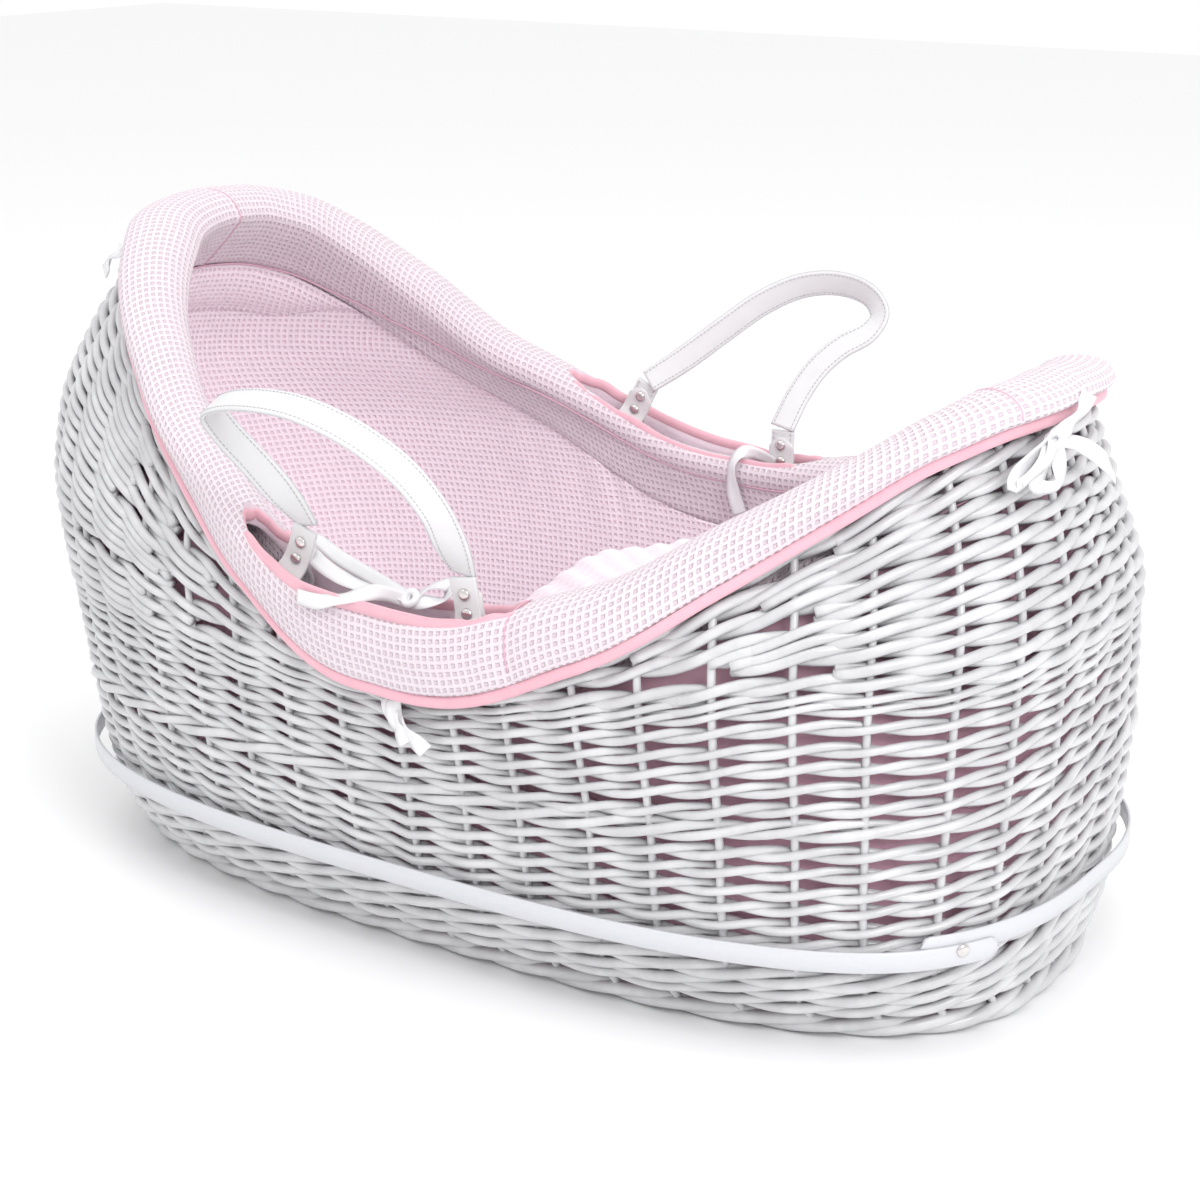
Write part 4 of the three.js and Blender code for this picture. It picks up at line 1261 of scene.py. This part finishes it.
def make_mattress():
    low, half = BASE_LOW + 0.3, MATTRESS_THICKNESS / 2
    edge = [
        (1 - 0.024 * (1 - math.cos(t)), low + half + half * math.sin(t))
        for t in np.radians(np.linspace(-90, 90, 13))
    ]
    top = low + MATTRESS_THICKNESS
    layers = [(0.5, low), (0.9, low)] + edge + [(0.9, top + 0.2), (0.6, top + 0.5), (0.2, top + 0.5)]
    rows = []
    for size, height in layers:
        ring = oval(MATTRESS_REACH * size, MATTRESS_HALF * size, MATTRESS_SQUARENESS, 200)
        rows.append(np.column_stack([ring + [MATTRESS_MIDDLE, 0], np.full(len(ring), height)]))
    piece = cushion("mattress_pad", COTTON, rows)
    finish_piece(piece, "mattress", "mattress", "mattress")


def coverlet_layers():
    """Size and rise of the coverlet's outlines: a low edge, then a crown."""
    edge = [(0.9, 0), (0.97, 0), (0.99, 5), (0.995, 11), (0.99, 17), (0.98, COVERLET_EDGE)]
    sizes = 0.975 * np.cos(np.linspace(0.1, 1.5, 100))
    rises = COVERLET_EDGE + COVERLET_CROWN * (1 - sizes ** COVERLET_SHOULDER) - 2
    return edge + list(zip(sizes, rises))


def make_coverlet():
    ring = oval(1, 1, COVERLET_SQUARENESS, 420)
    rows = []
    for size, rise in coverlet_layers():
        x, y = COVERLET_MIDDLE + COVERLET_REACH * size * ring[:, 0], COVERLET_HALF * size * ring[:, 1]
        top = max(0.0, rise - COVERLET_EDGE) / COVERLET_CROWN
        soft = 4 * np.sin(x / 37 + 1.2) * np.sin(y / 31 + 0.4) + 2.2 * np.sin(x / 17 + y / 23)
        dots = np.maximum(np.cos(math.pi * x / DIMPLE_PITCH) * np.cos(math.pi * y / DIMPLE_PITCH), 0)
        climb = COVERLET_LEAN * (x - COVERLET_MIDDLE)
        rows.append(np.column_stack([x, y, COVERLET_LOW + rise + top * (climb + soft - 3 + 2.6 * dots)]))
    piece = cushion("coverlet_dimple", DIMPLE, rows)
    finish_piece(piece, "coverlet", "dimple", "coverlet")


def make_coverlet_binding():
    ring = oval(COVERLET_REACH + 1.6, COVERLET_HALF + 1.6, COVERLET_SQUARENESS, 400)
    path = np.column_stack([ring + [COVERLET_MIDDLE, 0], np.full(len(ring), COVERLET_LOW + 10)])
    tangent = unit(np.roll(path, -1, 0) - np.roll(path, 1, 0))
    up = np.tile([0.0, 0.0, 1.0], (len(path), 1))
    tape("coverlet_bias_tape", path, unit(np.cross(tangent, up)), up, 10, 4, "coverlet", "coverlet_binding")


# ---- Ribbons ----------------------------------------------------------------

RIBBON_WIDTH = 10.5
RIBBON_THICKNESS = 0.6
RIBBON_SECTIONS = 60
# Outline of a ribbon, as shares of its half width and half thickness; it is slightly dished.
RIBBON_OUTLINE = ((-1, -1), (-0.4, -1.4), (0.4, -1.4), (1, -1), (1, 1), (0.4, 0.6), (-0.4, 0.6), (-1, 1))
KNOT_SIZES = (4.5, 3.2, 3.4)
KNOT_RADIUS = 2.6


def ribbon(name, places, facing, *nodes):
    """Satin ribbon through places given as (angle, offset, rise) on the dressing."""
    path = even_curve(np.stack([dressed(*place) for place in places]), RIBBON_SECTIONS)
    tangent = unit(np.gradient(path, axis=0))
    turn = 0.5 * np.sin(np.linspace(0, 2.6 * math.pi, RIBBON_SECTIONS))[:, None]
    side = unit(np.cross(tangent, unit(np.array(facing, float))))
    side = unit(side * np.cos(turn) + np.cross(side, tangent) * np.sin(turn))
    face = np.cross(side, tangent)
    build = Build()
    build.loft(np.stack([
        path + side * RIBBON_WIDTH / 2 * across + face * RIBBON_THICKNESS / 2 * depth
        for across, depth in RIBBON_OUTLINE
    ], 1))
    piece = finish_piece(build.done(name, SATIN, fix=True), "basket", "ribbon", *nodes)


def knot(name, place):
    """Tight wrap of ribbon at the middle of a bow."""
    turn = np.linspace(0, 2 * math.pi, 24, endpoint=False)
    ring = np.column_stack([np.cos(turn), np.sin(turn), np.sin(turn)]) * KNOT_SIZES
    build = Build()
    build.tube(dressed(*place) + ring, np.tile([0.0, 0.0, 1.0], (len(ring), 1)), KNOT_RADIUS, 10, True)
    finish_piece(build.done(name, SATIN), "basket", "ribbon")


def make_ribbons():
    def near(x):
        return rim_angle(x, -1)

    def far(x):
        return rim_angle(x, 1)

    tie = (near(40), -10, 21)
    ribbon(
        "near_bow_loop_long",
        [tie, (near(8), -17, 25), (near(-30), -22, 29), (near(-60), -24, 31), (near(-50), -14, 27),
         (near(-12), -6, 24), tie],
        (0, -0.5, 1), "near_slit_tie")
    ribbon(
        "near_bow_loop_short",
        [tie, (near(50), -20, 30), (near(60), -26, 30), (near(62), -18, 24), (near(50), -10, 22), tie],
        (0, -0.6, 1))
    ribbon(
        "near_bow_tail",
        [tie, (near(22), 3, 26), (near(2), 14, 20), (near(-16), 18, 14), (near(-34), 18, 11)],
        (0, -1, 0.6))
    knot("near_bow_knot", (near(40), -9, 23))
    ribbon(
        "far_slit_tail",
        [(far(56), -8, 10), (far(42), -16, 21), (far(30), -27, 25), (far(25), -35, 16), (far(26), -37, -4),
         (far(28), -38, -24)],
        (0, -1, 0.4), "far_slit_tie")
    foot = (-10, 13, -9)
    ribbon(
        "foot_bow_tail_up", [foot, (-6, 15, -4), (-2.8, 17, 4), (-1.6, 18, 12)], (1, -0.3, 0.2), "foot_tie")
    ribbon("foot_bow_tail_down", [foot, (-5, 17, -16), (-2, 21, -28), (-0.6, 22, -42)], (1, -0.3, 0.3))
    ribbon(
        "foot_bow_loop_low",
        [foot, (-13, 17, -18), (-16, 17, -30), (-13, 20, -32), (-11, 18, -20), foot], (1, -0.8, 0))
    ribbon(
        "foot_bow_loop_side",
        [foot, (-15, 16, -13), (-19, 15, -22), (-20, 18, -26), (-15, 20, -18), foot], (1, -0.8, 0))
    knot("foot_bow_knot", (-10, 15, -9))
    for side, angle in (("near", near(28)), ("far", far(28))):
        sign = HANDLES[side]["sign"]
        ribbon(
            f"{side}_flap_tail", [(angle, 2, -44), (angle, 3, -56), (angle + sign * -1.5, 6, -72)],
            (0, sign, 0.2), f"{side}_flap_tie")
    ribbon(
        "near_flap_tail_crossed", [(near(22), 1, -44), (near(28), 4, -58), (near(36), 5, -70)], (0, -1, 0.2))
    ribbon(
        "head_tail", [(-146, 11, -6), (-149, 15, 2), (-154, 17, -6), (-160, 16, -20), (-163, 15, -34)],
        (-0.6, -0.8, 0.5), "head_tie")


# ---- Stage ----------------------------------------------------------------

# Each lamp in metres: name, place, watts, size.
LAMPS = (
    ("key", (2.2, -1.2, 1.9), 36, 1.3),
    ("fill", (-1.2, -1.8, 2.2), 6, 1.6),
    ("top", (0.2, -0.4, 3.0), 14, 1.6),
)
LAMP_TARGET = Vector((0, 0, 0.25))
CAMERA_AZIMUTH = 33.57
CAMERA_ELEVATION = 17.8
CAMERA_DISTANCE = 1.7744
CAMERA_TARGET = Vector((0.0289, 0.0006, 0.2064))
CAMERA_LENS = 72.16
CAMERA_SHIFT = (0.005, 0.0039)


def make_stage():
    bpy.ops.mesh.primitive_plane_add(size=14, location=(0, 0, 0))
    floor = bpy.context.active_object
    floor.name = "floor"
    floor.data.materials.append(Look("floor_paper", (0.93, 0.93, 0.935), 0.9).material)
    world = bpy.data.worlds.new("studio")
    bpy.context.scene.world = world
    world.use_nodes = True
    light = world.node_tree.nodes["Background"]
    light.inputs["Color"].default_value = (1, 1, 1, 1)
    light.inputs["Strength"].default_value = 1.0
    for name, place, energy, size in LAMPS:
        data = bpy.data.lights.new(name, "AREA")
        data.energy = energy
        data.size = size
        lamp = bpy.data.objects.new(name, data)
        lamp.location = place
        lamp.rotation_euler = (LAMP_TARGET - Vector(place)).to_track_quat("-Z", "Y").to_euler()
        bpy.context.scene.collection.objects.link(lamp)


def make_camera():
    azimuth, elevation = math.radians(CAMERA_AZIMUTH), math.radians(CAMERA_ELEVATION)
    level = math.cos(elevation)
    back = Vector((math.sin(azimuth) * level, -math.cos(azimuth) * level, math.sin(elevation)))
    data = bpy.data.cameras.new("camera")
    data.sensor_width = 36
    data.lens = CAMERA_LENS
    data.shift_x, data.shift_y = CAMERA_SHIFT
    camera = bpy.data.objects.new("camera", data)
    camera.location = CAMERA_TARGET + back * CAMERA_DISTANCE
    camera.rotation_euler = back.to_track_quat("Z", "Y").to_euler()
    bpy.context.scene.collection.objects.link(camera)
    bpy.context.scene.camera = camera


# ---- Assembly -------------------------------------------------------------

bpy.context.scene.view_settings.view_transform = "Standard"
make_camera()
make_stage()
make_foot_border()
make_base()
make_stakes()
make_lower_wall()
packing_rows("foot_wall_rows", "foot_wall", stake_at(-88), stake_at(88), 12.8, 3.7, 2000)
packing_rows("hood_wall_rows", "hood_wall", stake_at(92), stake_at(268), 10.8, 3.3, 3000)
make_rim_border()
make_band()
make_band_fasteners()
for side_name, handle_facts in HANDLES.items():
    for end_name, anchor_x in zip(("head", "foot"), handle_facts["anchors"]):
        make_loop(side_name, end_name, anchor_x)
    make_strap(side_name)
make_padded_rim()
make_flap_binding()
make_slit_bindings()
make_lining()
make_valance()
make_roll_piping()
make_mattress()
make_coverlet()
make_coverlet_binding()
make_ribbons()
